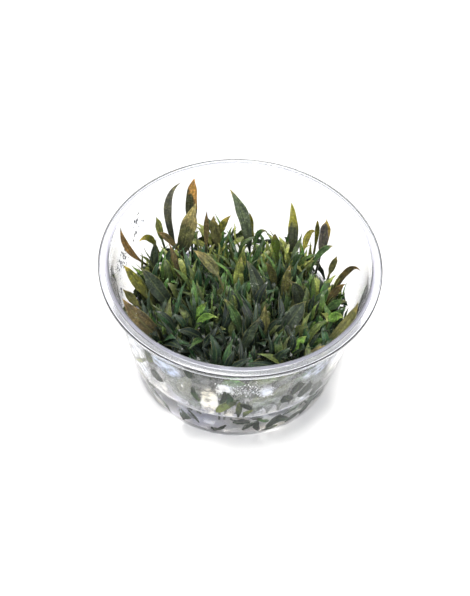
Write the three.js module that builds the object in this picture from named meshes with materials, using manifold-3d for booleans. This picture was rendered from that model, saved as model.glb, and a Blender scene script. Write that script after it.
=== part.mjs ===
// A dense clump of cryptocoryne wendtii growing in a layer of culture gel, in an open cup of clear
// plastic. Millimetres, +Z up, origin at the middle of the cup's foot. -Y is the front.
import * as THREE from "three";
import { mergeVertices } from "three/addons/utils/BufferGeometryUtils.js";
import Module from "manifold-3d";

// Cup
const CUP_HEIGHT = 60.3;
const WALL = 0.8;
const FLOOR_TOP = 1.8;
const FOOT_RADIUS = 40.6;
const FOOT_WIDTH = 3.4;
const FOOT_RECESS = 0.9;
const FOOT_SLOPE = 1;
const BASE_RADIUS = 42.9;
const BASE_ROUND = 2.3;
const CORNER_SHARE = 0.3;
const COLLAR_RADIUS = 49.17;
const COLLAR_LEVEL = CUP_HEIGHT - 4.3;
const COLLAR_FLARE = 0.7;
const FLANGE_RADIUS = 52.5;
const FLANGE_THICK = 1.1;
const BEAD_DROP = 1.9;
const BEAD_WIDTH = 0.9;
const EDGE_CUT = 0.4;
const ROUND_STEPS = 44;

// Gel
const GAP = 0.3;
const GEL_TOP = 18.2;
const GROWTH_LEVEL = GEL_TOP + GAP;

// Leaves
const BLADE_THICK = 0.75;
const STALK_THICK = 1.2;
const TIP_THICK = 0.3;
const STALK_WIDTH = 1.3;
const TIP_WIDTH = 0.4;
const STALK_SHARE = 0.34;
const SWELL_SKEW = 0.8;
const SWELL_ROUND = 0.85;
const FOLD = 0.22;
const FACE_LIFT = 0.85;
const LEAF_SIDES = 4;
const LEAF_STEPS = 6;
const SMALL_LEAF_SIDES = 3;
const SMALL_LEAF_STEPS = 3;

// Young plantlets
const CROWN_RADIUS = 2.2;
const CROWN_HEIGHT = 3.2;
const CROWN_SIDES = 6;
const CROWN_RINGS = 3;
const INNER_CROWNS = 5;
const OUTER_CROWNS = 7;
const INNER_CROWN_RADIUS = 17;
const OUTER_CROWN_RADIUS = 34.5;
const INNER_TURN = THREE.MathUtils.degToRad(18);
const OUTER_TURN = THREE.MathUtils.degToRad(4);
const SMALL_LEAVES = 9;
const TRIES = 260;
const FIRST_SEED = 40;
const GOLDEN_ANGLE = THREE.MathUtils.degToRad(137.5);
const LEAN = [THREE.MathUtils.degToRad(10), THREE.MathUtils.degToRad(64)];
const LENGTH = [14, 25];
const WIDTH = [3.0, 5.0];
const SMALL_STALK_SHARE = 0.28;
const RISE = 0.14;
const SMALL_FOOT_OUT = 1;
const SMALL_FOOT_RISE = 1;
const WALL_FOOT_RISE = 1.2;
const CLEARANCE = 1.3;
const WALL_CLEARANCE = 1.2;
const PROBE_STEPS = 14;
const PROBES_ACROSS = 4;
const SEED_FACTOR = 16807;
const SEED_RANGE = 2147483647;

// Colour and roughness
const FINISHES = {
  plastic: [0xeef1f3, 0.08],
  gel: [0xdfe2da, 0.25],
  green: [0x47682f, 0.4],
  bright: [0x6f9a35, 0.4],
  dark: [0x2f4030, 0.4],
  olive: [0x6a6c35, 0.4],
  bronze: [0x6b5532, 0.4],
  gold: [0x9a8f35, 0.4],
  orange: [0xa8733a, 0.4],
  purple: [0x4a3f3c, 0.4],
  plantlet: [0x3f5a2f, 0.45],
};

// Each large leaf: where its stalk leaves the gel [x, y], the middle of its curve and its tip [x, y, z],
// its width, the compass angle that its upper face looks to, its tint and the share that is stalk.
const LEAVES = [
  ["leaf_sickle", [-26.5, 31.5], [-30.8, 33.4, 47.5], [-25.5, 37, 60], 3.2, -70, "dark", 0.1],
  ["leaf_orange_tip", [-21, 32], [-21.3, 37, 47], [-20.5, 38, 61], 4.9, -98, "orange", 0.2],
  ["leaf_broad_olive", [-26, 25.5], [-23, 29, 40], [-19.3, 32, 53.5], 6.8, -85, "olive", 0.15],
  ["leaf_slim_brown", [-13.5, 22.5], [-15, 26.5, 40], [-14.5, 29, 53], 2.3, -60, "bronze", 0.34],
  ["leaf_back_olive", [-7.5, 24.5], [-11, 28, 38.5], [-12, 29.5, 49.5], 4.4, -105, "olive", 0.34],
  ["leaf_back_yellow", [-7.5, 29.5], [-8.8, 29.3, 39], [-5, 30, 50], 2.9, -90, "gold", 0.5],
  ["leaf_left_green_tip", [-30, 27], [-33.5, 27, 39], [-34.5, 26.5, 50], 3.2, -60, "bright", 0.4],
  ["leaf_rosy_slant", [-19, 24], [-28, 23, 38.5], [-33.5, 20.5, 47.5], 2.8, -60, "bronze", 0.4],
  ["leaf_folded_yellow", [-31.5, 22], [-36.5, 23, 38.5], [-40.5, 17, 45.5], 2.8, -60, "gold", 0.4],
  ["leaf_left_dark", [-35, 10], [-36, 15.5, 34], [-34, 19.5, 44.5], 4.4, -45, "dark", 0.15],
  ["leaf_far_left_orange", [-33.5, 22.5], [-43.2, 12.3, 45], [-46.2, 11.6, 59], 2.9, -35, "orange", 0.3],
  ["leaf_left_gold", [-29, -1], [-39.5, 3.5, 36.5], [-45, 3.5, 46], 4.0, -60, "gold", 0.15],
  ["leaf_left_broad_dark", [-22.5, -1], [-32, 2.5, 35], [-38.5, 4.5, 44.5], 6.1, -75, "dark", 0.12],
  ["leaf_left_big_bronze", [-25, -15.5], [-36, -13.5, 34], [-43.5, -12, 45.5], 7.0, -70, "bronze", 0.08],
  ["leaf_left_small", [-31, -6], [-40, -4.5, 33.5], [-44, -5.5, 42.5], 3.2, -60, "olive", 0.4],
  ["leaf_long_stalk", [-1.5, -3], [-9, 7.5, 38], [-18.5, 11, 49], 4.5, -90, "olive", 0.5],
  ["leaf_red_slim", [-22.5, 9.5], [-26, 12.5, 36.5], [-28.5, 16, 47], 2.6, -50, "bronze", 0.34],
  ["leaf_bright_left", [-20.5, -9.5], [-15.5, -6, 31], [-12, -6, 38.5], 2.8, -100, "bright", 0.3],
  ["leaf_curled_yellow", [-18, -14], [-13.5, -9, 31], [-7.5, -11.5, 36], 3.0, -90, "bright", 0.3],
  ["leaf_tall_glossy", [5, 29.5], [-0.3, 34, 44], [-6, 36, 58.5], 4.9, -100, "green", 0.15],
  ["leaf_slim_yellow", [7, 35], [4, 38.5, 34], [2.6, 38.8, 43], 1.9, -90, "gold", 0.4],
  ["leaf_arching_small", [6, 24], [5.6, 28.6, 38.5], [10.4, 27.7, 44], 2.2, -90, "green", 0.4],
  ["leaf_blunt_green", [17, 21.5], [14.5, 23, 38], [13, 23, 48], 3.6, -95, "bright", 0.4],
  ["leaf_tall_yellow_tip", [22.5, 28], [21.2, 31, 41], [19, 33.5, 55.5], 4.2, -90, "dark", 0.12],
  ["leaf_right_yellow", [25.5, 23], [26.5, 28, 38.5], [29, 26.5, 47.5], 2.9, -115, "gold", 0.35],
  ["leaf_right_slim", [30.5, 27.5], [30.5, 31, 40], [30, 30.5, 49], 2.0, -105, "gold", 0.3],
  ["leaf_purple", [31, 21.5], [33.8, 26.6, 42], [33, 28.4, 53], 4.6, -115, "purple", 0.3],
  ["leaf_right_pointed", [27, 16.5], [31.5, 20, 38.5], [36.8, 21, 45.5], 2.6, -95, "green", 0.4],
  ["leaf_right_olive", [34.5, 14.5], [37.5, 18, 33.5], [38.5, 19, 41.5], 2.7, -120, "olive", 0.4],
  ["leaf_far_right_arch", [36, 8.5], [42.2, 12, 39.5], [46, 4.5, 50.5], 2.5, -105, "bronze", 0.15],
  ["leaf_right_brown", [31.5, 4.5], [37.5, 7, 32.5], [41.5, 5.5, 40.5], 2.8, -105, "bronze", 0.3],
  ["leaf_right_wall_big", [29.5, -17], [41.5, -11.5, 36], [45, -7.5, 47], 4.8, -150, "olive", 0.1],
  ["leaf_front_right_brown", [23.5, -20.5], [30, -21, 30], [34.5, -21, 36.5], 3.0, -95, "bronze", 0.2],
  ["leaf_right_bright", [32, -5.5], [38, -2.5, 28.5], [41.8, -5, 32.5], 3.6, -110, "bright", 0.35],
  ["leaf_right_green", [29.5, 0.5], [37, 2, 31], [42, 0, 36.5], 3.2, -100, "green", 0.35],
  ["leaf_centre_oval", [1.5, 7], [-0.3, 12, 32.5], [0.3, 14, 43], 4.8, -90, "gold", 0.12],
  ["leaf_centre_speckled", [10, -7], [7.2, 2, 38], [2, 7.3, 50], 5.6, -85, "dark", 0.15],
  ["leaf_mid_olive", [16, 11], [13.5, 12, 35.5], [10, 10.5, 44.5], 3.3, -100, "olive", 0.2],
  ["leaf_speckled_narrow", [18.5, 3.5], [18.7, 7.5, 36.5], [19.5, 9, 46], 3.6, -80, "olive", 0.2],
  ["leaf_right_centre_dark", [26.5, -2], [24, 3, 35], [19.3, 2.3, 44], 5.6, -105, "dark", 0.1],
  ["leaf_front_broadest", [14, -14.5], [21, -7.8, 34.5], [26, -6, 43], 7.0, -75, "dark", 0.08],
  ["leaf_front_mid", [12, -11.5], [11, -7.5, 30], [10.5, -4.5, 37], 3.8, -95, "olive", 0.15],
  ["leaf_front_dark", [1.5, -19.5], [5.5, -15.5, 32], [8.8, -12.5, 39.5], 4.2, -80, "dark", 0.12],
  ["leaf_front_green", [3.5, -12.5], [-1, -8, 33], [-5.5, -5, 40.5], 3.8, -100, "green", 0.15],
  ["leaf_front_bright", [19.5, -20], [24, -16.5, 28.5], [27, -15.5, 33.5], 3.2, -110, "bright", 0.3],
];

// Small leaves pressed against the front of the wall, by the number of the crown that they grow from:
// the middle of the curve, the tip and the width.
const WALL_LEAVES = {
  11: [
    [[-31, -26, 29], [-28.5, -33, 26], 4.0],
    [[-32, -27, 34], [-31, -32, 40], 3.2],
  ],
  12: [
    [[1.5, -41, 31], [-3.5, -42, 23], 3.4],
    [[-12, -39, 27], [-15.5, -39.5, 21.5], 3.6],
    [[-10, -40, 32], [-16, -41, 40], 3.6],
    [[3, -38.5, 26], [7, -42, 29], 3.0],
  ],
  13: [
    [[23, -33, 26], [24, -36.5, 34], 4.0],
    [[27, -31, 25], [29.5, -32, 30.5], 4.0],
    [[20, -34.5, 24], [18.5, -38.3, 28.5], 3.8],
  ],
};

const wasm = await Module();
wasm.setup();

// A closed geometry as a solid that can be joined and cut.
function solidFrom(geometry) {
  const bare = geometry.clone();
  bare.deleteAttribute("normal");
  bare.deleteAttribute("uv");
  const merged = mergeVertices(bare, 1e-4);
  return new wasm.Manifold(
    new wasm.Mesh({
      numProp: 3,
      vertProperties: new Float32Array(merged.attributes.position.array),
      triVerts: new Uint32Array(merged.index.array),
    }),
  );
}

function geometryFrom(solid) {
  const mesh = solid.getMesh();
  const geometry = new THREE.BufferGeometry();
  geometry.setAttribute("position", new THREE.BufferAttribute(mesh.vertProperties, 3));
  geometry.setIndex(new THREE.BufferAttribute(mesh.triVerts, 1));
  geometry.computeVertexNormals();
  return geometry;
}

function named(name, geometry, finish) {
  const [color, roughness] = FINISHES[finish];
  const material = new THREE.MeshStandardMaterial({ color, roughness, metalness: 0 });
  const mesh = new THREE.Mesh(geometry, material);
  mesh.name = name;
  return mesh;
}

// Lathe turns round Y, so the ring is stood up on Z.
function turned(points, steps = ROUND_STEPS) {
  const profile = points.map(([radius, height]) => new THREE.Vector2(radius, height));
  return new THREE.LatheGeometry(profile, steps).rotateX(Math.PI / 2);
}

const wallRadius = (height) =>
  THREE.MathUtils.mapLinear(height, BASE_ROUND, COLLAR_LEVEL, BASE_RADIUS, COLLAR_RADIUS);
const insideRadius = (height) => wallRadius(height) - WALL;

// The wall widens up to a short upright collar, which the flat rim stands out from.
function cup() {
  const corner = BASE_RADIUS - BASE_ROUND;
  const footInner = FOOT_RADIUS - FOOT_WIDTH;
  const flangeUnder = CUP_HEIGHT - FLANGE_THICK;
  const insideFoot = insideRadius(FLOOR_TOP + BASE_ROUND);
  const insideCollar = COLLAR_RADIUS - WALL;
  return turned([
    [0, FOOT_RECESS],
    [footInner - FOOT_SLOPE, FOOT_RECESS],
    [footInner, 0],
    [corner, 0],
    [BASE_RADIUS - BASE_ROUND * CORNER_SHARE, BASE_ROUND * CORNER_SHARE],
    [wallRadius(BASE_ROUND), BASE_ROUND],
    [COLLAR_RADIUS, COLLAR_LEVEL],
    [COLLAR_RADIUS, flangeUnder - COLLAR_FLARE],
    [COLLAR_RADIUS + COLLAR_FLARE, flangeUnder],
    [FLANGE_RADIUS - BEAD_WIDTH, flangeUnder],
    [FLANGE_RADIUS - BEAD_WIDTH, CUP_HEIGHT - BEAD_DROP],
    [FLANGE_RADIUS, CUP_HEIGHT - BEAD_DROP],
    [FLANGE_RADIUS, CUP_HEIGHT - EDGE_CUT],
    [FLANGE_RADIUS - EDGE_CUT, CUP_HEIGHT],
    [insideCollar + EDGE_CUT, CUP_HEIGHT],
    [insideCollar, CUP_HEIGHT - EDGE_CUT],
    [insideCollar, COLLAR_LEVEL],
    [insideFoot, FLOOR_TOP + BASE_ROUND],
    [insideFoot - BASE_ROUND, FLOOR_TOP],
    [0, FLOOR_TOP],
  ]);
}

function gel() {
  const low = FLOOR_TOP + GAP;
  const rounded = low + BASE_ROUND;
  return turned([
    [0, low],
    [insideRadius(rounded) - BASE_ROUND - GAP, low],
    [insideRadius(rounded) - GAP, rounded],
    [insideRadius(GEL_TOP) - GAP, GEL_TOP],
    [0, GEL_TOP],
  ]);
}

// The blade's width along its length: narrow at the stalk, widest below the middle, drawn to a point.
function halfWidth(along, width, stalk) {
  const blade = THREE.MathUtils.clamp((along - stalk) / (1 - stalk), 0, 1);
  const swell = Math.pow(Math.max(Math.sin(Math.PI * Math.pow(blade, SWELL_SKEW)), 0), SWELL_ROUND);
  const least = THREE.MathUtils.lerp(STALK_WIDTH, TIP_WIDTH, blade);
  return Math.max(width * swell, least) / 2;
}

function halfThickness(along, stalk) {
  if (along < stalk) return THREE.MathUtils.lerp(STALK_THICK, BLADE_THICK, along / stalk) / 2;
  return THREE.MathUtils.lerp(BLADE_THICK, TIP_THICK, (along - stalk) / (1 - stalk)) / 2;
}

// The leaf's curve with, at any share of its length, the way across it and the way its face looks.
function course({ foot, bend, tip, face }) {
  const start = new THREE.Vector3(...foot);
  const end = new THREE.Vector3(...tip);
  const pull = new THREE.Vector3(...bend).multiplyScalar(2).sub(start.clone().add(end).multiplyScalar(0.5));
  const spine = new THREE.QuadraticBezierCurve3(start, pull, end);
  const facing = new THREE.Vector3(Math.cos(face), Math.sin(face), FACE_LIFT);
  return (along) => {
    const tangent = spine.getTangent(along);
    const up = facing.clone().addScaledVector(tangent, -facing.dot(tangent)).normalize();
    return { middle: spine.getPoint(along), up, side: tangent.cross(up) };
  };
}

// A closed tube of a few sides, bent along the leaf's curve and flattened into stalk and blade.
function leaf(spec, sides, steps) {
  const at = course(spec);
  const tube = new THREE.CylinderGeometry(1, 1, 1, sides, steps, false, Math.PI);
  const points = tube.attributes.position;
  for (let i = 0; i < points.count; i += 1) {
    const along = points.getY(i) + 0.5;
    const { middle, up, side } = at(along);
    const sideways = points.getX(i) * halfWidth(along, spec.width, spec.stalk);
    const lift = points.getZ(i) * halfThickness(along, spec.stalk) + FOLD * Math.abs(sideways);
    const place = middle.addScaledVector(side, sideways).addScaledVector(up, lift);
    points.setXYZ(i, place.x, place.y, place.z);
  }
  return tube;
}

// Points spread over a leaf, by which two leaves are kept apart.
function probes(spec) {
  const at = course(spec);
  const points = [];
  for (let i = 0; i <= PROBE_STEPS; i += 1) {
    const along = i / PROBE_STEPS;
    const { middle, side } = at(along);
    const half = halfWidth(along, spec.width, spec.stalk);
    for (let j = 0; j <= PROBES_ACROSS; j += 1) {
      points.push(middle.clone().addScaledVector(side, half * ((2 * j) / PROBES_ACROSS - 1)));
    }
  }
  return points;
}

function largeLeaf([name, [x, y], bend, tip, width, compass, tint, stalk = STALK_SHARE]) {
  const face = THREE.MathUtils.degToRad(compass);
  return { name, foot: [x, y, GROWTH_LEVEL + STALK_THICK / 2], bend, tip, width, face, stalk, tint };
}

// A sequence of numbers from 0 to 1 that is the same every time.
function sequence(seed) {
  let state = seed;
  return () => {
    state = (state * SEED_FACTOR) % SEED_RANGE;
    return state / SEED_RANGE;
  };
}

const between = ([low, high], share) => low + (high - low) * share;

const apart = (points, others) =>
  points.every((p) => others.every((q) => p.distanceToSquared(q) > CLEARANCE * CLEARANCE));
const insideWall = (points) =>
  points.every((p) => Math.hypot(p.x, p.y) < insideRadius(p.z) - WALL_CLEARANCE);

// One leaf of a young plantlet, leaning out from its crown.
function smallLeaf([x, y], angle, next) {
  const lean = between(LEAN, next());
  const length = between(LENGTH, next());
  const width = between(WIDTH, next());
  const [outX, outY] = [Math.cos(angle), Math.sin(angle)];
  const reach = length * Math.sin(lean);
  const height = length * Math.cos(lean);
  const foot = [x + outX * SMALL_FOOT_OUT, y + outY * SMALL_FOOT_OUT, GROWTH_LEVEL + SMALL_FOOT_RISE];
  const along = (share, rise) => [
    foot[0] + outX * reach * share,
    foot[1] + outY * reach * share,
    foot[2] + height * rise,
  ];
  const bend = along(0.5 - RISE, 0.5 + RISE);
  return { foot, bend, tip: along(1, 1), width, face: angle + Math.PI, stalk: SMALL_STALK_SHARE };
}

function wallLeaf([x, y], [bend, tip, width]) {
  const face = Math.atan2(-tip[1], -tip[0]);
  return { foot: [x, y, GROWTH_LEVEL + WALL_FOOT_RISE], bend, tip, width, face, stalk: STALK_SHARE };
}

// The leaves of a young plantlet fan out from its crown where the leaves already there leave room.
function smallLeaves(place, number, taken) {
  const next = sequence(FIRST_SEED + number);
  const turn = next() * 2 * Math.PI;
  const kept = (WALL_LEAVES[number] ?? []).map((row) => wallLeaf(place, row));
  for (let i = 0; i < TRIES && kept.length < SMALL_LEAVES; i += 1) {
    const spec = smallLeaf(place, turn + i * GOLDEN_ANGLE, next);
    const points = probes(spec);
    if (insideWall(points) && apart(points, taken)) kept.push(spec);
  }
  return kept;
}

function crown([x, y]) {
  const dome = new THREE.SphereGeometry(1, CROWN_SIDES, CROWN_RINGS).rotateX(Math.PI / 2);
  dome.scale(CROWN_RADIUS, CROWN_RADIUS, CROWN_HEIGHT / 2);
  return dome.translate(x, y, GROWTH_LEVEL + CROWN_HEIGHT / 2);
}

// Crown and small leaves grown together.
function plantlet(place, leaves) {
  let solid = solidFrom(crown(place));
  for (const spec of leaves) solid = solid.add(solidFrom(leaf(spec, SMALL_LEAF_SIDES, SMALL_LEAF_STEPS)));
  return geometryFrom(solid);
}

function ring(count, radius, turn) {
  return Array.from({ length: count }, (_, i) => {
    const angle = turn + (i * 2 * Math.PI) / count;
    return [radius * Math.cos(angle), radius * Math.sin(angle)];
  });
}

const group = new THREE.Group();
group.add(named("cup", cup(), "plastic"));
group.add(named("gel", gel(), "gel"));

const large = LEAVES.map(largeLeaf);
for (const spec of large) group.add(named(spec.name, leaf(spec, LEAF_SIDES, LEAF_STEPS), spec.tint));

const crowns = [
  [0, 0],
  ...ring(INNER_CROWNS, INNER_CROWN_RADIUS, INNER_TURN),
  ...ring(OUTER_CROWNS, OUTER_CROWN_RADIUS, OUTER_TURN),
];
const taken = large.flatMap(probes);
crowns.forEach((place, i) => {
  const leaves = smallLeaves(place, i + 1, taken);
  taken.push(...leaves.flatMap(probes));
  const name = "plantlet_" + String(i + 1).padStart(2, "0");
  group.add(named(name, plantlet(place, leaves), "plantlet"));
});

export default group;
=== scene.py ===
"""A dense clump of cryptocoryne wendtii in culture gel, in an open cup of clear plastic.

Lengths are in millimetres up to the point where a mesh is made; Blender's metres start there.
"""
import math

import bpy
import numpy as np
from mathutils import Matrix, Vector


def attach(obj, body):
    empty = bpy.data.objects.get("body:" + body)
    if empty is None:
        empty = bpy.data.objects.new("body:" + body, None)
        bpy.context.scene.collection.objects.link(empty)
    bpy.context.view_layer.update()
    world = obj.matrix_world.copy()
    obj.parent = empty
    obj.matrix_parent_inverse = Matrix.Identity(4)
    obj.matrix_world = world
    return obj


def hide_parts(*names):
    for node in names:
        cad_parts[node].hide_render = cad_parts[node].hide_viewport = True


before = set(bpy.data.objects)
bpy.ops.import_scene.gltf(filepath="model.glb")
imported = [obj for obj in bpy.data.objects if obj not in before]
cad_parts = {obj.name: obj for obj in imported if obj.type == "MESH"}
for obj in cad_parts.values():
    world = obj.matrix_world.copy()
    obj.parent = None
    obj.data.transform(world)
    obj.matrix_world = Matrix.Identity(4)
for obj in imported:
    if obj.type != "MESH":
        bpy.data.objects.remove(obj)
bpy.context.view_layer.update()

MM = 0.001
TAU = 2 * math.pi

# Camera, as fitted to the rim, the wall and the foot
CAMERA_PLACE = (0, -192.98, 285.29)
CAMERA_HEADING = math.radians(0.385)
CAMERA_PITCH = math.radians(52.4)
CAMERA_ROLL = math.radians(3.23)
FOCAL_PIXELS = 800
IMAGE_HEIGHT = 596
SENSOR = 36
NEAREST = 0.005

# Studio: each lamp's place and size in metres, its power and its colour
LAMPS = [
    ("key", (-0.07, 0.06, 0.82), 0.3, 8, (1.0, 0.98, 0.95)),
    ("fill", (0.25, -0.55, 0.6), 0.6, 3, (0.93, 0.95, 1.0)),
]
SKY = [(0.02, (0.45, 0.45, 0.49)), (0.45, (1, 1, 1))]
SKY_STRENGTH = 0.86
FLOOR_HALF = 3000
FLOOR_TINTS = ((0.66, 0.66, 0.66), (0.70, 0.70, 0.70))
FLOOR_ROUGHNESS = 0.7

# Cup
CUP_HEIGHT = 60.3
WALL = 0.8
FLOOR_TOP = 1.8
FOOT_RADIUS = 40.6
FOOT_WIDTH = 3.4
FOOT_RECESS = 0.9
FOOT_SLOPE = 1
FOOT_EDGE = (0.2, 0.15)
BASE_RADIUS = 42.9
BASE_ROUND = 2.3
COLLAR_RADIUS = 49.17
COLLAR_LEVEL = CUP_HEIGHT - 4.3
COLLAR_FLARE = 0.7
LIP_ROUND = 0.55
RING_RADIUS = 49.95
FLANGE_RADIUS = 52.5
FLANGE_THICK = 1.1
FLANGE_TOP = CUP_HEIGHT - 0.35
BEAD_LOW = CUP_HEIGHT - 1.9
BEAD_WIDTH = 0.9
BEAD_ROUND = 0.15
EDGE_ROUND = 0.4
EDGE_WIDTH = 0.95
EDGE_BAND = (0.45, 0.32)
RING_EDGE = (0.15, 0.05)
RING_START = COLLAR_RADIUS - 0.2
CUP_STEPS = 600
# The angle from which an edge stays sharp, how near to a level counts as at it, and what counts as upward
SHARP = math.radians(32)
NEAR = 0.1
UPWARD = 0.1
MIST_TOP = 54
MIST_ROW = 0.6

# Gel
GAP = 0.3
GEL_TOP = 18.2
GROWTH_LEVEL = GEL_TOP + GAP
MENISCUS_RISE = 0.5
MENISCUS_WIDTH = 1.4
GEL_LINE = 19.0
GEL_LINE_HALF = 0.3
WETTING = 0.1
GEL_MIDDLE = 12
MENISCUS_STEPS = 6
MENISCUS_SEEN = 0.7
GEL_RINGS = (0.8, 0.6, 0.4, 0.2)
GEL_SIDE = (-0.5, 0.2)

# Refractive indices. The wall's is low, which keeps its sides as clear as in the photograph
RIM_IOR = 1.4
WALL_IOR = 1.2
WETTED_IOR = 1.1
GEL_IOR = 1.34
WATER_IOR = 1.33
LEAF_IOR = 1.45
# Plastics and drops: the tint, the roughness, the transmission and the refractive index
CLEAR = (0.97, 0.975, 0.98)
SMOOTH = 0.03
CUP_PLASTICS = {
    "clear_plastic": (CLEAR, SMOOTH, 1.0, RIM_IOR),
    "frosted_ring": ((0.48, 0.48, 0.58), 0.3, 0.7, RIM_IOR),
    # Painted shade: the rim's rounded edges are tinted nearly black, standing for the dark surroundings
    # that they refract
    "painted_dark_rim_edge": ((0.02, 0.02, 0.025), 0.1, 0.4, RIM_IOR),
    "milky_rim": ((0.86, 0.88, 0.97), 0.2, 0.88, RIM_IOR),
    "wetted_plastic": (CLEAR, SMOOTH, 1.0, WETTED_IOR),
    "wall_plastic": (CLEAR, SMOOTH, 1.0, WALL_IOR),
    # Painted highlight and painted dark line on the wall where the gel meets it, for how the meniscus
    # bends the light
    "gel_line_painted_highlight": ((0.96, 0.96, 0.97), 0.3, 0.4, WALL_IOR),
    "gel_line_painted_shade": ((0.20, 0.21, 0.23), 0.1, 0.8, WALL_IOR),
}
DROPS = {
    # The drops' tints are painted: the dark one stands for the dark surroundings that clear drops
    # refract, the white one paints their sparkle
    "water_drop": ((0.16, 0.17, 0.19), 0.08, 0.5, WATER_IOR),
    "sparkle_drop": ((0.95, 0.96, 0.97), 0.08, 0.2, WATER_IOR),
}
PLASTIC_SHADE = 0.97
DROP_SHADE = 0.8

# Leaves: the least widths at the stalk and at the tip, in the solids and here, and the blade's shape
SOLID_WIDTHS = (1.3, 0.4)
FINE_WIDTHS = (1.0, 0.12)
BLADE_THICK = 0.42
THINNING = 0.6
OPENING = 0.25
EDGE_WAVES = (3, 0.05)
WAVES = (2.2, 4.2)
WAVE_HEIGHT = (0.05, 0.15)
RIPPLE_FROM = 0.2
TIP_BEND = 6
TIP_BEND_FROM = 0.72
DROOP_FROM = 0.5
DROOP_SHARE = (0.4, 1.6)
FOLD_ROUND = 0.2
GROOVE = (0.1, 0.16)
TWIST = 0.5
BOW = 0.05
TONE = 0.5
STALK_SHARE = 0.34
SWELL_SKEW = 0.8
SWELL_ROUND = 0.85
BLUNT = 0.5
POINTED = 0.45
POINTED_FROM = 0.6
FOLD = 0.22
FOLD_SHARE = (0.5, 1.5)
FEW_GLINTS = 0.12
GLOSS = 0.4
FACE_LIFT = 0.85
FOOT_RISE = 0.6
SUNK = 2.6
TALLEST = 61
LARGE_ROWS = 44
LARGE_COLUMNS = 12
LARGE_SEED = 5
SMALL_ROWS = 13
SMALL_COLUMNS = 5

# Young plantlets
CROWN_RADIUS = 2.2
CROWN_HEIGHT = 3.2
CROWN_RINGS = 9
CROWN_STEPS = 12
CROWN_LOBES = 5
CROWN_LOBE_DEPTH = 0.12
CROWN_END = 0.01
CROWN_TONE = 0.3
INNER_CROWNS = 5
OUTER_CROWNS = 7
INNER_CROWN_RADIUS = 17
OUTER_CROWN_RADIUS = 34.5
INNER_TURN = math.radians(18)
OUTER_TURN = math.radians(4)
SMALL_LEAVES = 9
TRIES = 260
FIRST_SEED = 40
GOLDEN_ANGLE = math.radians(137.5)
LEAN = (math.radians(10), math.radians(64))
LENGTH = (14, 25)
WIDTH = (3.0, 5.0)
SMALL_STALK_SHARE = 0.28
RISE = 0.14
SMALL_FOOT_OUT = 1
SMALL_FOOT_RISE = 1
WALL_FOOT_RISE = 1.2
CLEARANCE = 1.3
WALL_CLEARANCE = 1.2
PROBE_STEPS = 14
PROBES_ACROSS = 4
SEED_FACTOR = 16807
SEED_RANGE = 2147483647

# The many little leaves between the leaves of the solids, which fan out from a point in front of the cup
FILL_TRIES = 900
FILL_BACK = 24
FILL_BACK_SHARE = 0.12
FRONT_BREADTH = (0.9, 1.35)
BREADTH_FADE = (15, -20)
FILL_SPREAD = 11
FILL_RISE = (0.02, 0.27)
FILL_FOLD = 0.36
FILL_DROOP = (1, 6)
FILL_CLEARANCE = 0.4
YOUNG_SLIMNESS = 0.75
YOUNG_FOLD = 0.32
YOUNG_DROOP = 3
YOUNG_TWIST = 0.9
FILL_SEED = 700
FAN_POINT = (0, -48)
FAN_SPREAD = math.radians(55)
CANOPY_FRONT = 33
CANOPY_BACK = 41
CANOPY_EDGE = 36
CANOPY_SPREAD = (-7, 6)
CANOPY_RISES = (-36, 12)
CANOPY_FALLS = (20, 34)
VIEW_CLEARANCE = 1.1
VIEW_DEPTH = 0.5
SHOWN_FROM = 0.45
# What every one of these little leaves has in common
LIVELY = {"bow": 0.3, "twist": 1.4, "fold": FILL_FOLD}

# How light a small leaf is: a random share, and what its place adds towards the back, the left and the
# right, partly the leaves' own colour and partly painted light: low at the front as painted shade, higher
# towards the back and the sides as painted light shining through the leaves. Each row has the amount, the
# direction and where along it the rise starts and ends
TONE_SHARE = 0.82
TONE_LEAST = -0.45
PAINTED_LIGHT_RISES = [
    (0.60, (0, 1), -40, 36),
    (0.24, (0, 1), 10, 34),
    (0.16, (-1, 0), 6, 32),
    (0.2, (1, 0), 6, 32),
]

# Upright little leaves, low ones that cover the gel and thin stems: how many there are, and the least and
# most of their lean, length and width
UPRIGHT_LEAVES = (58, (math.radians(2), math.radians(40)), (12, 27), (1.0, 2.9))
LOW_LEAVES = (36, (math.radians(48), math.radians(80)), (8, 14), (2.6, 4.4))
STEM_LEAVES = (20, (0, math.radians(26)), (13, 26), (0.7, 1.3))
# Painted shade: the low leaves are made darker, for the shade that they lie in under the others
LOW_PAINTED_SHADE = 0.12

# Loose leaves near the wall and loose scraps in the gel: how many there are, the levels they start at,
# how far they rise and turn, how wide they are and the level that they stay under
LOOSE_LEAVES = (110, (GROWTH_LEVEL, 27), (1, 15), (3, 13), (2.4, 4.8), 40)
LOOSE_SCRAPS = (34, (3.5, 16), (-5, 3), (2, 9), (1.2, 3.4), GEL_TOP - 2)
LOOSE_TONE = 0.8
PRESSED_SEED = 31
PRESSED_INSET = (1.0, 3.2)
PRESSED_BULGE = 1.5
PRESSED_STALK = 0.1
PRESSED_TWIST = 0.3
WET_INSET = 0.0
BEHIND_INSET = 1.0
SCRAP_SEED = 77
SCRAP_INSET = (0.9, 6.0)
SCRAP_LOWEST = 3.2
# Angles between which the wall has no loose leaves: at all levels, and above one level at the back
PRESSED_GAP = (210, 242)
PRESSED_BACK = (25, 155)
PRESSED_BACK_TOP = 29
# What every leaf that lies flat along the wall has in common
FLAT = {"lift": 0.0, "sunk": 0.0, "twist": 0.05, "bow": 0.2, "relief": 0.1, "round": BLUNT,
        "pointed": 0.0}

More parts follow.
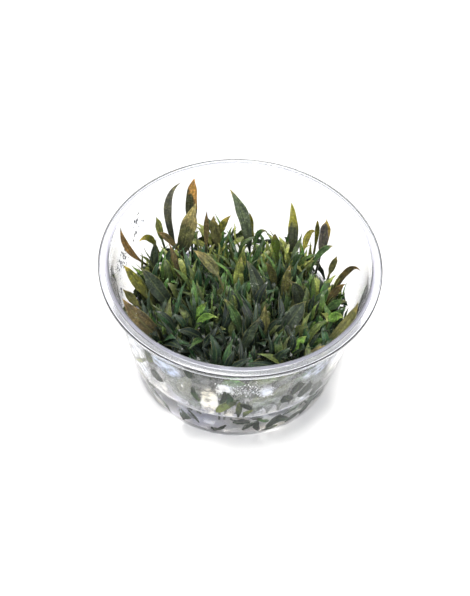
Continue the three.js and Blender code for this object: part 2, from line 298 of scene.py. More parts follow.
# Drops on the inside of the wall: the angles, the levels and how many
DROP_SPOTS = [
    ((145, 156), (47, 56), 26),
    ((153, 158), (43.5, 48), 14),
    ((160, 177), (38, 50), 70),
    ((172, 184), (40, 51), 26),
    ((176, 186), (30, 40), 20),
]
DROP_SIZE = (0.14, 0.42)
DROP_SEED = 11
DROP_HEIGHT = 0.6
DROP_STRETCH = (1, 2.6)
DROP_INSET = 0.02
DROP_STEPS = 8
DROP_LEVELS = np.array((0.0, 0.5, 0.85, 1.0))
DROP_END = 0.02
# Painted highlights: small white drops that stand for the sparkle of the mist on the wall
SPARKLE_SPOTS = [
    ((-98, -87), (37, 47), 260),
    ((-80, -71), (35, 45), 200),
    ((-91, -76), (36, 50), 120),
]
SPARKLE_SIZE = (0.08, 0.26)
SPARKLE_SEED = 12

# Fine mist on the inside of the wall, thicker at the front
MIST_BACK = 0.04
MIST_FRONT = 0.18
MIST_FADE = (47, 53)
MIST_TURN = (85, 35)
FRONT = -90
PATCH_EDGE = (1.35, 0.6)
WIPED = 0.9
WIPED_EDGE = 0.6
WIPED_STEPS = 24
# Thicker patches, which are partly mist and partly paint the bright light that shows through gaps in the
# leaves:
# the middle's angle and level, half the width in degrees, half the height, how thick and how warm they
# look, a painted tint of coloured light
MIST_PATCHES = [
    (-121, 46, 8, 6, 0.6, -0.7),
    (-124.5, 27, 2.5, 7, 0.5, 0.1),
    (-100.5, 30, 4.6, 11, 0.85, 1.0),
    (-91, 23, 2.8, 4, 0.7, 0.8),
    (-94, 43, 4, 4, 0.6, -0.3),
    (-113, 37, 0.9, 3, 0.8, 0.0),
    (-75, 40.5, 3, 4, 0.6, -0.3),
    (-51, 44, 8, 5, 0.45, -0.6),
    (-54, 24, 5, 3.5, 0.5, -0.2),
    (-34, 38, 7, 14, 0.5, 0.1),
    (-142, 33, 8, 15, 0.85, -0.2),
]

# Each large leaf: where its stalk leaves the gel [x, y], the middle of its curve and its tip [x, y, z],
# its width, the compass angle that its upper face looks to, its tint and the share that is stalk
LEAVES = [
    ("sickle", (-26.5, 31.5), (-30.8, 33.4, 47.5), (-25.5, 37, 60), 3.2, -70, "dark", 0.1),
    ("orange_tip", (-21, 32), (-21.3, 37, 47), (-20.5, 38, 61), 4.9, -98, "orange", 0.2),
    ("broad_olive", (-26, 25.5), (-23, 29, 40), (-19.3, 32, 53.5), 6.8, -85, "olive", 0.15),
    ("slim_brown", (-13.5, 22.5), (-15, 26.5, 40), (-14.5, 29, 53), 2.3, -60, "bronze", 0.34),
    ("back_olive", (-7.5, 24.5), (-11, 28, 38.5), (-12, 29.5, 49.5), 4.4, -105, "olive", 0.34),
    ("back_yellow", (-7.5, 29.5), (-8.8, 29.3, 39), (-5, 30, 50), 2.9, -90, "gold", 0.5),
    ("left_green_tip", (-30, 27), (-33.5, 27, 39), (-34.5, 26.5, 50), 3.2, -60, "bright", 0.4),
    ("rosy_slant", (-19, 24), (-28, 23, 38.5), (-33.5, 20.5, 47.5), 2.8, -60, "bronze", 0.4),
    ("folded_yellow", (-31.5, 22), (-36.5, 23, 38.5), (-40.5, 17, 45.5), 2.8, -60, "gold", 0.4),
    ("left_dark", (-35, 10), (-36, 15.5, 34), (-34, 19.5, 44.5), 4.4, -45, "dark", 0.15),
    ("far_left_orange", (-33.5, 22.5), (-43.2, 12.3, 45), (-46.2, 11.6, 59), 2.9, -35, "orange", 0.3),
    ("left_gold", (-29, -1), (-39.5, 3.5, 36.5), (-45, 3.5, 46), 4.0, -60, "gold", 0.15),
    ("left_broad_dark", (-22.5, -1), (-32, 2.5, 35), (-38.5, 4.5, 44.5), 6.1, -75, "dark", 0.12),
    ("left_big_bronze", (-25, -15.5), (-36, -13.5, 34), (-43.5, -12, 45.5), 7.0, -70, "bronze", 0.08),
    ("left_small", (-31, -6), (-40, -4.5, 33.5), (-44, -5.5, 42.5), 3.2, -60, "olive", 0.4),
    ("long_stalk", (-1.5, -3), (-9, 7.5, 38), (-18.5, 11, 49), 4.5, -90, "olive", 0.5),
    ("red_slim", (-22.5, 9.5), (-26, 12.5, 36.5), (-28.5, 16, 47), 2.6, -50, "bronze", 0.34),
    ("bright_left", (-20.5, -9.5), (-15.5, -6, 31), (-12, -6, 38.5), 2.8, -100, "bright", 0.3),
    ("curled_yellow", (-18, -14), (-13.5, -9, 31), (-7.5, -11.5, 36), 3.0, -90, "bright", 0.3),
    ("tall_glossy", (5, 29.5), (-0.3, 34, 44), (-6, 36, 58.5), 4.9, -100, "green", 0.15),
    ("slim_yellow", (7, 35), (4, 38.5, 34), (2.6, 38.8, 43), 1.9, -90, "gold", 0.4),
    ("arching_small", (6, 24), (5.6, 28.6, 38.5), (10.4, 27.7, 44), 2.2, -90, "green", 0.4),
    ("blunt_green", (17, 21.5), (14.5, 23, 38), (13, 23, 48), 3.6, -95, "bright", 0.4),
    ("tall_yellow_tip", (22.5, 28), (21.2, 31, 41), (19, 33.5, 55.5), 4.2, -90, "dark", 0.12),
    ("right_yellow", (25.5, 23), (26.5, 28, 38.5), (29, 26.5, 47.5), 2.9, -115, "gold", 0.35),
    ("right_slim", (30.5, 27.5), (30.5, 31, 40), (30, 30.5, 49), 2.0, -105, "gold", 0.3),
    ("purple", (31, 21.5), (33.8, 26.6, 42), (33, 28.4, 53), 4.6, -115, "purple", 0.3),
    ("right_pointed", (27, 16.5), (31.5, 20, 38.5), (36.8, 21, 45.5), 2.6, -95, "green", 0.4),
    ("right_olive", (34.5, 14.5), (37.5, 18, 33.5), (38.5, 19, 41.5), 2.7, -120, "olive", 0.4),
    ("far_right_arch", (36, 8.5), (42.2, 12, 39.5), (46, 4.5, 50.5), 2.5, -105, "bronze", 0.15),
    ("right_brown", (31.5, 4.5), (37.5, 7, 32.5), (41.5, 5.5, 40.5), 2.8, -105, "bronze", 0.3),
    ("right_wall_big", (29.5, -17), (41.5, -11.5, 36), (45, -7.5, 47), 4.8, -150, "olive", 0.1),
    ("front_right_brown", (23.5, -20.5), (30, -21, 30), (34.5, -21, 36.5), 3.0, -95, "bronze", 0.2),
    ("right_bright", (32, -5.5), (38, -2.5, 28.5), (41.8, -5, 32.5), 3.6, -110, "bright", 0.35),
    ("right_green", (29.5, 0.5), (37, 2, 31), (42, 0, 36.5), 3.2, -100, "green", 0.35),
    ("centre_oval", (1.5, 7), (-0.3, 12, 32.5), (0.3, 14, 43), 4.8, -90, "gold", 0.12),
    ("centre_speckled", (10, -7), (7.2, 2, 38), (2, 7.3, 50), 5.6, -85, "dark", 0.15),
    ("mid_olive", (16, 11), (13.5, 12, 35.5), (10, 10.5, 44.5), 3.3, -100, "olive", 0.2),
    ("speckled_narrow", (18.5, 3.5), (18.7, 7.5, 36.5), (19.5, 9, 46), 3.6, -80, "olive", 0.2),
    ("right_centre_dark", (26.5, -2), (24, 3, 35), (19.3, 2.3, 44), 5.6, -105, "dark", 0.1),
    ("front_broadest", (14, -14.5), (21, -7.8, 34.5), (26, -6, 43), 7.0, -75, "dark", 0.08),
    ("front_mid", (12, -11.5), (11, -7.5, 30), (10.5, -4.5, 37), 3.8, -95, "olive", 0.15),
    ("front_dark", (1.5, -19.5), (5.5, -15.5, 32), (8.8, -12.5, 39.5), 4.2, -80, "dark", 0.12),
    ("front_green", (3.5, -12.5), (-1, -8, 33), (-5.5, -5, 40.5), 3.8, -100, "green", 0.15),
    ("front_bright", (19.5, -20), (24, -16.5, 28.5), (27, -15.5, 33.5), 3.2, -110, "bright", 0.3),
]

# Small leaves pressed against the front of the wall, by the number of the crown that they grow from:
# the middle of the curve, the tip and the width
WALL_LEAVES = {
    11: [
        ((-31, -26, 29), (-28.5, -33, 26), 4.0),
        ((-32, -27, 34), (-31, -32, 40), 3.2),
    ],
    12: [
        ((1.5, -41, 31), (-3.5, -42, 23), 3.4),
        ((-12, -39, 27), (-15.5, -39.5, 21.5), 3.6),
        ((-10, -40, 32), (-16, -41, 40), 3.6),
        ((3, -38.5, 26), (7, -42, 29), 3.0),
    ],
    13: [
        ((23, -33, 26), (24, -36.5, 34), 4.0),
        ((27, -31, 25), (29.5, -32, 30.5), 4.0),
        ((20, -34.5, 24), (18.5, -38.3, 28.5), 3.8),
    ],
}

# Leaves and leaf bits that show through the front of the wall: the compass angle and level where each
# starts and ends, its width and its tone from dark to light
PRESSED = [
    (-131, 48.5, -131.5, 39, 4.0, 0.5),
    (-129.2, 35, -128.6, 27.5, 6.5, 0.1),
    (-110, 52, -109, 45.5, 3.4, 0.1),
    (-108, 38, -105.5, 28, 2.6, 0.4),
    (-93.3, 40.5, -95, 30, 2.4, 0.12),
    (-92, 40, -91.5, 30, 2.6, 0.35),
    (-87.5, 34.5, -97, 21.5, 4.4, 0.84),
    (-86.5, 19.5, -86.5, 33, 2.4, 0.5),
    (-86.3, 31.3, -80.5, 25.3, 3.4, 0.05),
    (-84, 19.5, -80, 25.5, 2.6, 0.84),
    (-65.8, 32.4, -60.6, 25.6, 5.2, 0.0),
    (-59.5, 40.2, -61.2, 30.6, 5.4, 0.0),
    (-52.8, 35.2, -55.8, 24.6, 5.8, 0.05),
    (-43.8, 26.5, -47, 18.8, 6.4, 0.05),
    (-52, 27.5, -43.6, 28.4, 1.5, 0.2),
    (-134, 38, -147, 24, 1.6, 0.95),
]
# The same for leaves just behind them, which don't touch the wall
BEHIND = [
    (-124, 38, -108, 19.5, 9.5, 0.3),
    (-79, 18.5, -73, 35, 8.5, 0.5),
    (-72, 18.5, -66, 36, 8.5, 0.45),
    (-111, 20, -110, 46, 6.0, 0.55),
    (-97, 43, -84, 46, 5.0, 0.7),
    (-84, 45, -70, 47, 6.0, 0.6),
    (-72, 44, -60, 47, 6.0, 0.55),
    (-66, 18.5, -62, 44, 6.5, 0.5),
    (-58, 18.5, -53, 40, 6.5, 0.4),
    (-49, 18.5, -44, 38, 6.5, 0.45),
    (-41, 18.5, -37, 40, 6.5, 0.4),
    (-33, 18.5, -30, 40, 6.5, 0.5),
]
# The same for scraps that show in the gel
SCRAP_ROWS = [
    (-111.5, 15.8, -106.5, 7, 1.8, 0.0),
    (-116, 3.8, -116, 14, 4.6, 0.25),
    (-92.5, 10, -98, 3.4, 2.0, 0.0),
    (-98, 3.4, -99.8, 7, 1.3, 0.0),
    (-89, 13.5, -80, 14, 4.6, 0.0),
    (-83.5, 6.3, -77, 14, 3.2, 0.0),
    (-76.5, 14, -75, 3.4, 2.8, 0.02),
    (-77, 16.5, -70.5, 11, 3.4, 0.7),
    (-73, 3.4, -64, 4.6, 3.0, 0.45),
    (-71, 4, -65, 16, 4.6, 0.1),
    (-67, 14.5, -58.5, 6, 4.2, 0.25),
    (-60, 4.5, -50.5, 9.5, 3.8, 0.15),
    (-50.5, 4, -44.5, 13.5, 4.8, 0.2),
    (-48, 12.5, -46.4, 17.8, 4.0, 0.05),
    (-43.5, 11.5, -33, 6.5, 4.6, 0.1),
    (-63, 13.5, -54, 17, 3.4, 0.3),
    (-51, 16.5, -42, 14.5, 3.4, 0.35),
    (-39, 13, -31, 16.5, 3.6, 0.2),
    (-141, 15, -130.5, 8.5, 2.6, 0.2),
    (-134, 13, -124, 3.4, 2.2, 0.3),
    (-146, 10, -128, 3.4, 1.2, 0.9),
]

# Leaf colours: the blade, its tip, and where along the leaf the tip's colour starts. Two more numbers
# bring the tip's colour further down the margins and down one side
TINTS = {
    "green": ((0.055, 0.105, 0.035), (0.17, 0.16, 0.05), 0.86),
    "bright": ((0.16, 0.30, 0.06), (0.26, 0.36, 0.09), 0.80),
    "dark": ((0.042, 0.058, 0.036), (0.11, 0.11, 0.05), 0.88),
    "olive": ((0.135, 0.135, 0.048), (0.24, 0.20, 0.07), 0.82),
    "bronze": ((0.115, 0.09, 0.04), (0.22, 0.15, 0.06), 0.78),
    "gold": ((0.17, 0.175, 0.035), (0.33, 0.27, 0.05), 0.80),
    "orange": ((0.10, 0.085, 0.04), (0.45, 0.22, 0.05), 0.55),
}
# Leaves that have a colouring of their own
SPECIAL = {
    "orange_tip": ((0.07, 0.075, 0.04), (0.47, 0.26, 0.07), 0.66, 0.05, 0.14),
    "far_left_orange": ((0.25, 0.15, 0.055), (0.09, 0.08, 0.04), 0.92),
    "tall_yellow_tip": ((0.08, 0.09, 0.055), (0.33, 0.32, 0.055), 0.66, 0.14, 0.0),
    "tall_glossy": ((0.15, 0.19, 0.11), (0.40, 0.33, 0.10), 0.96, 0.14, 0.0),
    "purple": ((0.14, 0.125, 0.10), (0.46, 0.34, 0.08), 0.84, 0.22, 0.12),
    "blunt_green": ((0.11, 0.17, 0.03), (0.20, 0.17, 0.05), 0.82),
    "broad_olive": ((0.14, 0.145, 0.06), (0.36, 0.31, 0.12), 0.60, 0.05, 0.05),
    "sickle": ((0.13, 0.13, 0.09), (0.18, 0.17, 0.09), 0.80),
    "right_yellow": ((0.33, 0.31, 0.07), (0.42, 0.36, 0.08), 0.80),
    "centre_oval": ((0.29, 0.34, 0.09), (0.34, 0.32, 0.10), 0.85),
    "front_right_brown": ((0.25, 0.22, 0.09), (0.30, 0.22, 0.09), 0.80),
    "left_green_tip": ((0.14, 0.20, 0.05), (0.30, 0.33, 0.09), 0.55, 0.1, 0.05),
    "front_broadest": ((0.066, 0.084, 0.058), (0.20, 0.20, 0.07), 0.97, 0.16, 0.0),
    "right_centre_dark": ((0.062, 0.078, 0.05), (0.20, 0.18, 0.07), 0.96, 0.16, 0.0),
}
# How much narrower than an even taper the tips get
TIP_SHAPES = {
    "orange_tip": 0.2,
    "broad_olive": 0.3,
    "blunt_green": 0.0,
    "tall_yellow_tip": 0.0,
    "right_yellow": 0.0,
    "right_slim": 0.1,
    "centre_oval": 0.1,
    "purple": 0.85,
}
# How much of the leaf has painted highlights: white glints painted on in specks
GLINT_SHARES = {
    "tall_glossy": 0.6,
    "centre_speckled": 0.9,
    "speckled_narrow": 1.0,
    "left_big_bronze": 0.5,
    "left_broad_dark": 0.4,
    "tall_yellow_tip": 0.4,
}
# Patterns, by how fine and how detailed they are
PATTERNS = {
    "mottles": (300, 4),
    "flecks": (1100, 3),
    "streaks": (1, 4),
    "painted_glints": (1700, 3),
    "glint_zones": (420, 2),
    "ragged_tip": (420, 2),
    "plastic": (40, 2),
    "drop": (900, 1),
    "mist": (260, 5),
    "warmth": (90, 2),
    "gel_swirls": (85, 3),
    "gel_haze": (120, 3),
    "gel_dents": (60, 2),
    "gel_clouds": (70, 3),
    "floor": (3, 2),
}
# How a value turns into another: where the change starts and ends, and what it gives there if not 0 and 1
CHANGES = {
    "mottles": (0.38, 0.62),
    "streaks": (0.48, 0.62),
    "flecks": (0.50, 0.64),
    "midrib": (0.02, 0.12, 0.25, 0.0),
    "veins": (0.5, 1.0),
    "margin": (0.86, 1.0),
    "margin_highlight_streaks": (0.4, 0.6, 0.0, 0.6),
    "stalk": (0.1, 0.55, 0.85, 0.0),
    "painted_glints": (0.62, 0.70),
    "glint_zones": (0.46, 0.60),
    "leaf_roughness": (0.3, 0.7, 0.18, 0.42),
    "mist": (0.35, 0.65, 0.4, 1.4),
    "mist_transmission": (0.0, 1.0, 1.0, 0.08),
    "mist_roughness": (0.03, 0.3, 0.03, 0.16),
    "gel_right_shade": (0.0, 0.03),
    "gel_low": (0.004, 0.012, 0.6, 0.0),
    "gel_transmission": (0.48, 0.66, 0.97, 0.55),
}
# How the streaks stretch across and along a leaf and differ by its place and tone, and how the veins run
# along and across it
STREAK_PLACE = (4.0, 5.0, 120.0, 37.0)
VEIN_PLACE = (150.0, 9.0)
VEIN_SHARE = 0.12
GLINTS_FROM = (0.3, 0.6)
LEAF_RELIEF = (-0.4, 0.8)
LEAF_BUMP = (0.00015, 0.6)
GEL_BUMP = (0.0008, 0.5)
TIP_EDGE = 0.07
RAGGED = 0.3
ALONG_TONE = 0.08
UNDERSIDE = (1.5, 0.02)
WARMTH = 0.5
# Colours that lie over every leaf's own
MOTTLES = (0.55, 0.55, 0.62)
STREAKS = (0.55, 0.55, 0.6)
FLECKS = (1.9, 1.8, 1.7)
MIDRIB = (0.20, 0.24, 0.08)
VEINS = (0.02, 0.03, 0.015)
# Painted highlight: the pale light caught along the leaves' edges
MARGIN_HIGHLIGHT = (0.26, 0.25, 0.08)
# Painted shade: the dark over the lower part of every leaf, for the shade deep in the clump
PAINTED_STALK_SHADE = (0.018, 0.026, 0.016)
# Painted highlight: the white of the glints on wet leaves
GLINT_COLOUR = (0.75, 0.78, 0.66)
# Small leaves from dark to light
YOUNG_TINTS = [
    (0.0, (0.010, 0.017, 0.014)),
    (0.22, (0.018, 0.034, 0.020)),
    (0.42, (0.022, 0.066, 0.024)),
    (0.60, (0.090, 0.105, 0.032)),
    (0.76, (0.060, 0.155, 0.035)),
    (0.90, (0.16, 0.20, 0.045)),
    (1.0, (0.26, 0.29, 0.075)),
]
# Mist from cool to warm: a painted tint of lilac and cream coloured light
MIST_LIGHT_TINTS = [
    (0.0, (0.64, 0.74, 1.0)),
    (0.5, (0.96, 0.965, 0.97)),
    (1.0, (0.93, 0.87, 0.73)),
]
# The gel's swirls, its tint low down, the painted shade that darkens it at the right, and the clouds on
# its underside
GEL_TINTS = [
    (0.32, (0.66, 0.68, 0.80)),
    (0.45, (0.84, 0.85, 0.90)),
    (0.56, (0.97, 0.96, 0.94)),
    (0.68, (0.80, 0.84, 0.74)),
]
GEL_LOW = (1.0, 0.92, 0.82)
GEL_RIGHT_SHADE = (0.62, 0.64, 0.56)
CLOUD_TINTS = [
    (0.35, (0.80, 0.80, 0.92)),
    (0.55, (0.95, 0.93, 0.94)),
    (0.70, (0.98, 0.92, 0.80)),
]
CLOUD_ROUGHNESS = 0.5
CLOUD_TRANSMISSION = 0.2


# Numbers

def sequence(seed):
    """Numbers from 0 to 1 that are the same every time."""
    state = seed
    while True:
        state = state * SEED_FACTOR % SEED_RANGE
        yield state / SEED_RANGE


def between(limits, share):
    return limits[0] + (limits[1] - limits[0]) * share


def unit(vectors):
    return vectors / np.linalg.norm(vectors, axis=-1, keepdims=True)


def smooth(low, high, value):
    share = np.clip((value - low) / (high - low), 0, 1)
    return share * share * (3 - 2 * share)


def inside_radius(height):
    """The radius of the wall's inner face."""
    share = (height - BASE_ROUND) / (COLLAR_LEVEL - BASE_ROUND)
    return BASE_RADIUS + share * (COLLAR_RADIUS - BASE_RADIUS) - WALL


def camera_turn():
    return (Matrix.Rotation(CAMERA_HEADING, 4, "Z")
            @ Matrix.Rotation(math.pi / 2 - CAMERA_PITCH, 4, "X")
            @ Matrix.Rotation(CAMERA_ROLL, 4, "Z"))


# Meshes

def placed(name, data):
    """A new object in the scene."""
    obj = bpy.data.objects.new(name, data)
    bpy.context.scene.collection.objects.link(obj)
    return obj


def wear(obj, *materials):
    for material in materials:
        obj.data.materials.append(material)


def add_mark(mesh, mark, values):
    layer = mesh.attributes.new(mark, "FLOAT", "POINT")
    layer.data.foreach_set("value", np.asarray(values, dtype=np.float32))


def mesh_object(name, points, faces, marks=None):
    """A mesh from points in millimetres, with named numbers kept on its points."""
    mesh = bpy.data.meshes.new(name)
    mesh.from_pydata((np.asarray(points) * MM).tolist(), [], faces)
    mesh.update()
    for mark, values in (marks or {}).items():
        add_mark(mesh, mark, values)
    mesh.shade_smooth()
    return placed(name, mesh)


def ring_faces(rings, around, first):
    """Quads between closed rings of points, with a face over each end."""
    faces = []
    for i in range(rings - 1):
        low = first + i * around
        for j in range(around):
            k = (j + 1) % around
            faces.append((low + j, low + k, low + around + k, low + around + j))
    faces.append(tuple(first + j for j in reversed(range(around))))
    faces.append(tuple(first + (rings - 1) * around + j for j in range(around)))
    return faces


def turned(name, profile):
    """A closed profile of (radius, height) turned round the cup's axis, on which it starts and ends."""
    steps = CUP_STEPS
    angles = np.arange(steps) * TAU / steps
    rim = profile[1:-1]
    points = [(0, 0, profile[0][1])]
    for radius, height in rim:
        points.extend(zip(radius * np.cos(angles), radius * np.sin(angles), np.full(steps, height)))
    points.append((0, 0, profile[-1][1]))
    last = len(points) - 1
    faces = []
    for j in range(steps):
        k = (j + 1) % steps
        faces.append((0, 1 + k, 1 + j))
        for i in range(len(rim) - 1):
            low = 1 + i * steps
            faces.append((low + j, low + k, low + steps + k, low + steps + j))
        low = 1 + (len(rim) - 1) * steps
        faces.append((low + j, low + k, last))
    obj = mesh_object(name, points, faces)
    obj.data.set_sharp_from_angle(angle=SHARP)
    return obj


def arc(centre, radius, start, end, steps):
    """Points of a round corner, with angles in degrees."""
    angles = np.radians(np.linspace(start, end, steps + 1))
    return [(centre[0] + radius * math.cos(a), centre[1] + radius * math.sin(a)) for a in angles]


# Leaf shapes

def blade_share(along, spec):
    """How far along the blade, from 0 at the stalk's end to 1 at the tip."""
    return np.clip((along - spec["stalk"]) / (1 - spec["stalk"]), 0, 1)


def half_width(along, spec, least=SOLID_WIDTHS, swell_round=SWELL_ROUND):
    blade = blade_share(along, spec)
    swell = np.maximum(np.sin(math.pi * blade ** SWELL_SKEW), 0) ** swell_round
    return np.maximum(spec["width"] * swell, between(least, blade)) / 2


def fine_half_width(along, spec):
    """The same with a fine stalk and a drawn-out tip."""
    half = half_width(along, spec, FINE_WIDTHS, spec.get("round", SWELL_ROUND))
    return half * (1 - spec.get("pointed", POINTED) * smooth(POINTED_FROM, 1.0, blade_share(along, spec)))


def course(spec, along):
    """The leaf's curve: its points, the way its face looks and the way across it."""
    foot, bend, tip = (np.array(spec[key], float) for key in ("foot", "bend", "tip"))
    pull = 2 * bend - (foot + tip) / 2

    def at(share):
        t = share[:, None]
        return (1 - t) ** 2 * foot + 2 * (1 - t) * t * pull + t * t * tip

    step = 1e-4
    tangent = unit(at(np.clip(along + step, 0, 1)) - at(np.clip(along - step, 0, 1)))
    face = np.array((math.cos(spec["face"]), math.sin(spec["face"]), spec.get("lift", FACE_LIFT)))
    up = unit(face - (tangent @ face)[:, None] * tangent)
    return at(along), up, np.cross(tangent, up)


def blade_mesh(spec, rows, columns, numbers):
    """A leaf as a thin closed form: a stalk that opens into a waved blade, folded along its midrib."""
    foot, tip = np.array(spec["foot"]), np.array(spec["tip"])
    length = np.linalg.norm(tip - foot)
    along = np.linspace(-spec.get("sunk", SUNK) / length, 1, rows + 1)
    inner = np.clip(along, 0, 1)
    middle, _, _ = course(spec, along)
    _, up, side = course(spec, inner)
    twist = (next(numbers) - 0.5) * spec.get("twist", TWIST) * inner[:, None]
    up, side = up * np.cos(twist) + side * np.sin(twist), side * np.cos(twist) - up * np.sin(twist)
    half = fine_half_width(inner, spec)
    half = half * (1 + EDGE_WAVES[1] * np.sin(TAU * (EDGE_WAVES[0] * inner + next(numbers))))
    blade = blade_share(inner, spec)
    opened = smooth(0, OPENING, blade)
    thick = FINE_WIDTHS[0] * (1 - opened) + BLADE_THICK * opened * (1 - THINNING * blade)
    waves = between(WAVES, next(numbers))
    wave = [next(numbers), next(numbers)]
    wave_height = between(WAVE_HEIGHT, next(numbers))
    bent = TIP_BEND * np.maximum(inner - TIP_BEND_FROM, 0) ** 2
    bent = bent + spec.get("droop", 0.0) * np.maximum(inner - DROOP_FROM, 0) ** 2
    droop = between(DROOP_SHARE, next(numbers)) * bent
    bow = (next(numbers) - 0.5) * spec.get("bow", BOW) * length * np.sin(math.pi * inner) ** 2
    middle = middle + bow[:, None] * side
    relief = spec.get("relief", 1.0)
    wave_height, droop = wave_height * relief, droop * relief
    crease = spec.get("fold", FOLD) * between(FOLD_SHARE, next(numbers)) * relief

    turn = np.arange(2 * columns) * TAU / (2 * columns)
    across, lift = np.cos(turn), np.sin(turn)
    sideways = half[:, None] * across
    phase = np.where(across > 0, wave[0], wave[1])
    ripple = np.sin(TAU * (waves * inner[:, None] + phase)) * half[:, None] * across ** 2 * wave_height
    grown = smooth(0, RIPPLE_FROM, blade)[:, None]
    ripple = ripple * grown
    fold = crease * (np.sqrt(sideways ** 2 + FOLD_ROUND ** 2) - FOLD_ROUND)
    groove = GROOVE[0] * np.exp(-(across / GROOVE[1]) ** 2) * (lift > 0) * grown
    height = lift * thick[:, None] / 2 + fold + ripple - groove - droop[:, None]
    points = middle[:, None] + sideways[..., None] * side[:, None] + height[..., None] * up[:, None]
    points[..., 2] = np.minimum(points[..., 2], TALLEST)
    around = 2 * columns
    return {
        "points": points.reshape(-1, 3),
        "faces": (rows + 1, around),
        "along": np.repeat(inner, around),
        "across": np.tile(across, rows + 1),
        "upper": np.tile((lift > 0).astype(float), rows + 1),
        "tone": np.full((rows + 1) * around, spec.get("tone", TONE)),
    }


def joined(name, parts, *materials):
    """One mesh object from several closed forms."""
    faces, first = [], 0
    for part in parts:
        rings, around = part["faces"]
        faces.extend(ring_faces(rings, around, first))
        first += rings * around
    points = np.concatenate([part["points"] for part in parts])
    marks = {m: np.concatenate([part[m] for part in parts]) for m in ("along", "across", "upper", "tone")}
    obj = mesh_object(name, points, faces, marks)
    wear(obj, *materials)
    return obj


# Where the small leaves grow

def probes(spec):
    along = np.arange(PROBE_STEPS + 1) / PROBE_STEPS
    middle, _, side = course(spec, along)
    half = half_width(along, spec)
    shares = 2 * np.arange(PROBES_ACROSS + 1) / PROBES_ACROSS - 1
    points = middle[:, None] + (half[:, None] * shares)[..., None] * side[:, None]
    return points.reshape(-1, 3)


def midline(points):
    return points[PROBES_ACROSS // 2::PROBES_ACROSS + 1]


def blade_probes(spec):
    """Points of the blade, without its stalk and its margins."""
    points = probes(spec).reshape(PROBE_STEPS + 1, PROBES_ACROSS + 1, 3)
    return points[round(SHOWN_FROM * PROBE_STEPS):, 1:PROBES_ACROSS].reshape(-1, 3)


def apart(points, others, clearance):
    """True if no point is nearer to the others than the clearance."""
    low, high = points.min(0) - clearance, points.max(0) + clearance
    near = others[((others > low) & (others < high)).all(1)]
    if not len(near):
        return True
    gaps = ((points[:, None] - near) ** 2).sum(-1)
    return gaps.min() > clearance ** 2


def inside_wall(points):
    return (np.hypot(points[:, 0], points[:, 1]) < inside_radius(points[:, 2]) - WALL_CLEARANCE).all()


def large_leaf(row):
    name, (x, y), bend, tip, width, compass, tint, stalk = row
    foot = (x, y, GROWTH_LEVEL + FOOT_RISE)
    return {"name": name, "foot": foot, "bend": bend, "tip": tip, "width": width,
            "face": math.radians(compass), "stalk": stalk, "tint": tint,
            "pointed": TIP_SHAPES.get(name, POINTED)}


def leaning_leaf(place, angle, foot_out, foot_rise, lean, length, width, rise=RISE):
    out = np.array((math.cos(angle), math.sin(angle)))
    reach, height = length * math.sin(lean), length * math.cos(lean)
    foot = np.array((*(np.array(place) + out * foot_out), GROWTH_LEVEL + foot_rise))

    def along(share_out, share_up):
        return foot + np.array((*(out * reach * share_out), height * share_up))

    return {"foot": foot, "bend": along(0.5 - rise, 0.5 + rise), "tip": along(1, 1), "width": width,
            "face": angle + math.pi, "stalk": SMALL_STALK_SHARE}


def wall_leaf(place, row):
    bend, tip, width = row
    foot = (*place, GROWTH_LEVEL + WALL_FOOT_RISE)
    return {"foot": foot, "bend": bend, "tip": tip, "width": width,
            "face": math.atan2(-tip[1], -tip[0]), "stalk": STALK_SHARE}


def small_leaves(place, number, taken):
    """The leaves of a young plantlet, as in the solids: they fan out where there is room."""
    numbers = sequence(FIRST_SEED + number)
    turn = next(numbers) * TAU
    kept = [wall_leaf(place, row) for row in WALL_LEAVES.get(number, [])]
    for i in range(TRIES):
        if len(kept) >= SMALL_LEAVES:
            break
        lean = between(LEAN, next(numbers))
        length = between(LENGTH, next(numbers))
        width = between(WIDTH, next(numbers))
        spec = leaning_leaf(place, turn + i * GOLDEN_ANGLE, SMALL_FOOT_OUT, SMALL_FOOT_RISE,
                            lean, length, width)
        points = probes(spec)
        if inside_wall(points) and apart(points, taken, CLEARANCE):
            kept.append(spec)
    return kept


def canopy(points):
    """How high little leaves reach: lower at the front than at the back."""
    y = points[:, 1]
    rise = (CANOPY_BACK - CANOPY_FRONT) * smooth(*CANOPY_RISES, y)
    return CANOPY_FRONT + rise - (CANOPY_BACK - CANOPY_EDGE) * smooth(*CANOPY_FALLS, y)


def seen(points):
    """Points as the camera sees them: across and up at the cup's distance, and how far away they are."""
    sight = camera_turn().to_3x3()
    offset = np.asarray(points) - CAMERA_PLACE
    across, up, back = (offset @ np.array(sight.col[i]) for i in range(3))
    scale = np.linalg.norm(CAMERA_PLACE) / -back
    return np.stack((across * scale, up * scale), -1), -back


def hides(points, shown):
    """True if a little leaf stands in front of a large leaf's blade."""
    spots, depths = seen(points)
    large_spots, large_depths = shown
    gaps = ((spots[:, None] - large_spots) ** 2).sum(-1)
    return ((gaps < VIEW_CLEARANCE ** 2) & (depths[:, None] < large_depths - VIEW_DEPTH)).any()


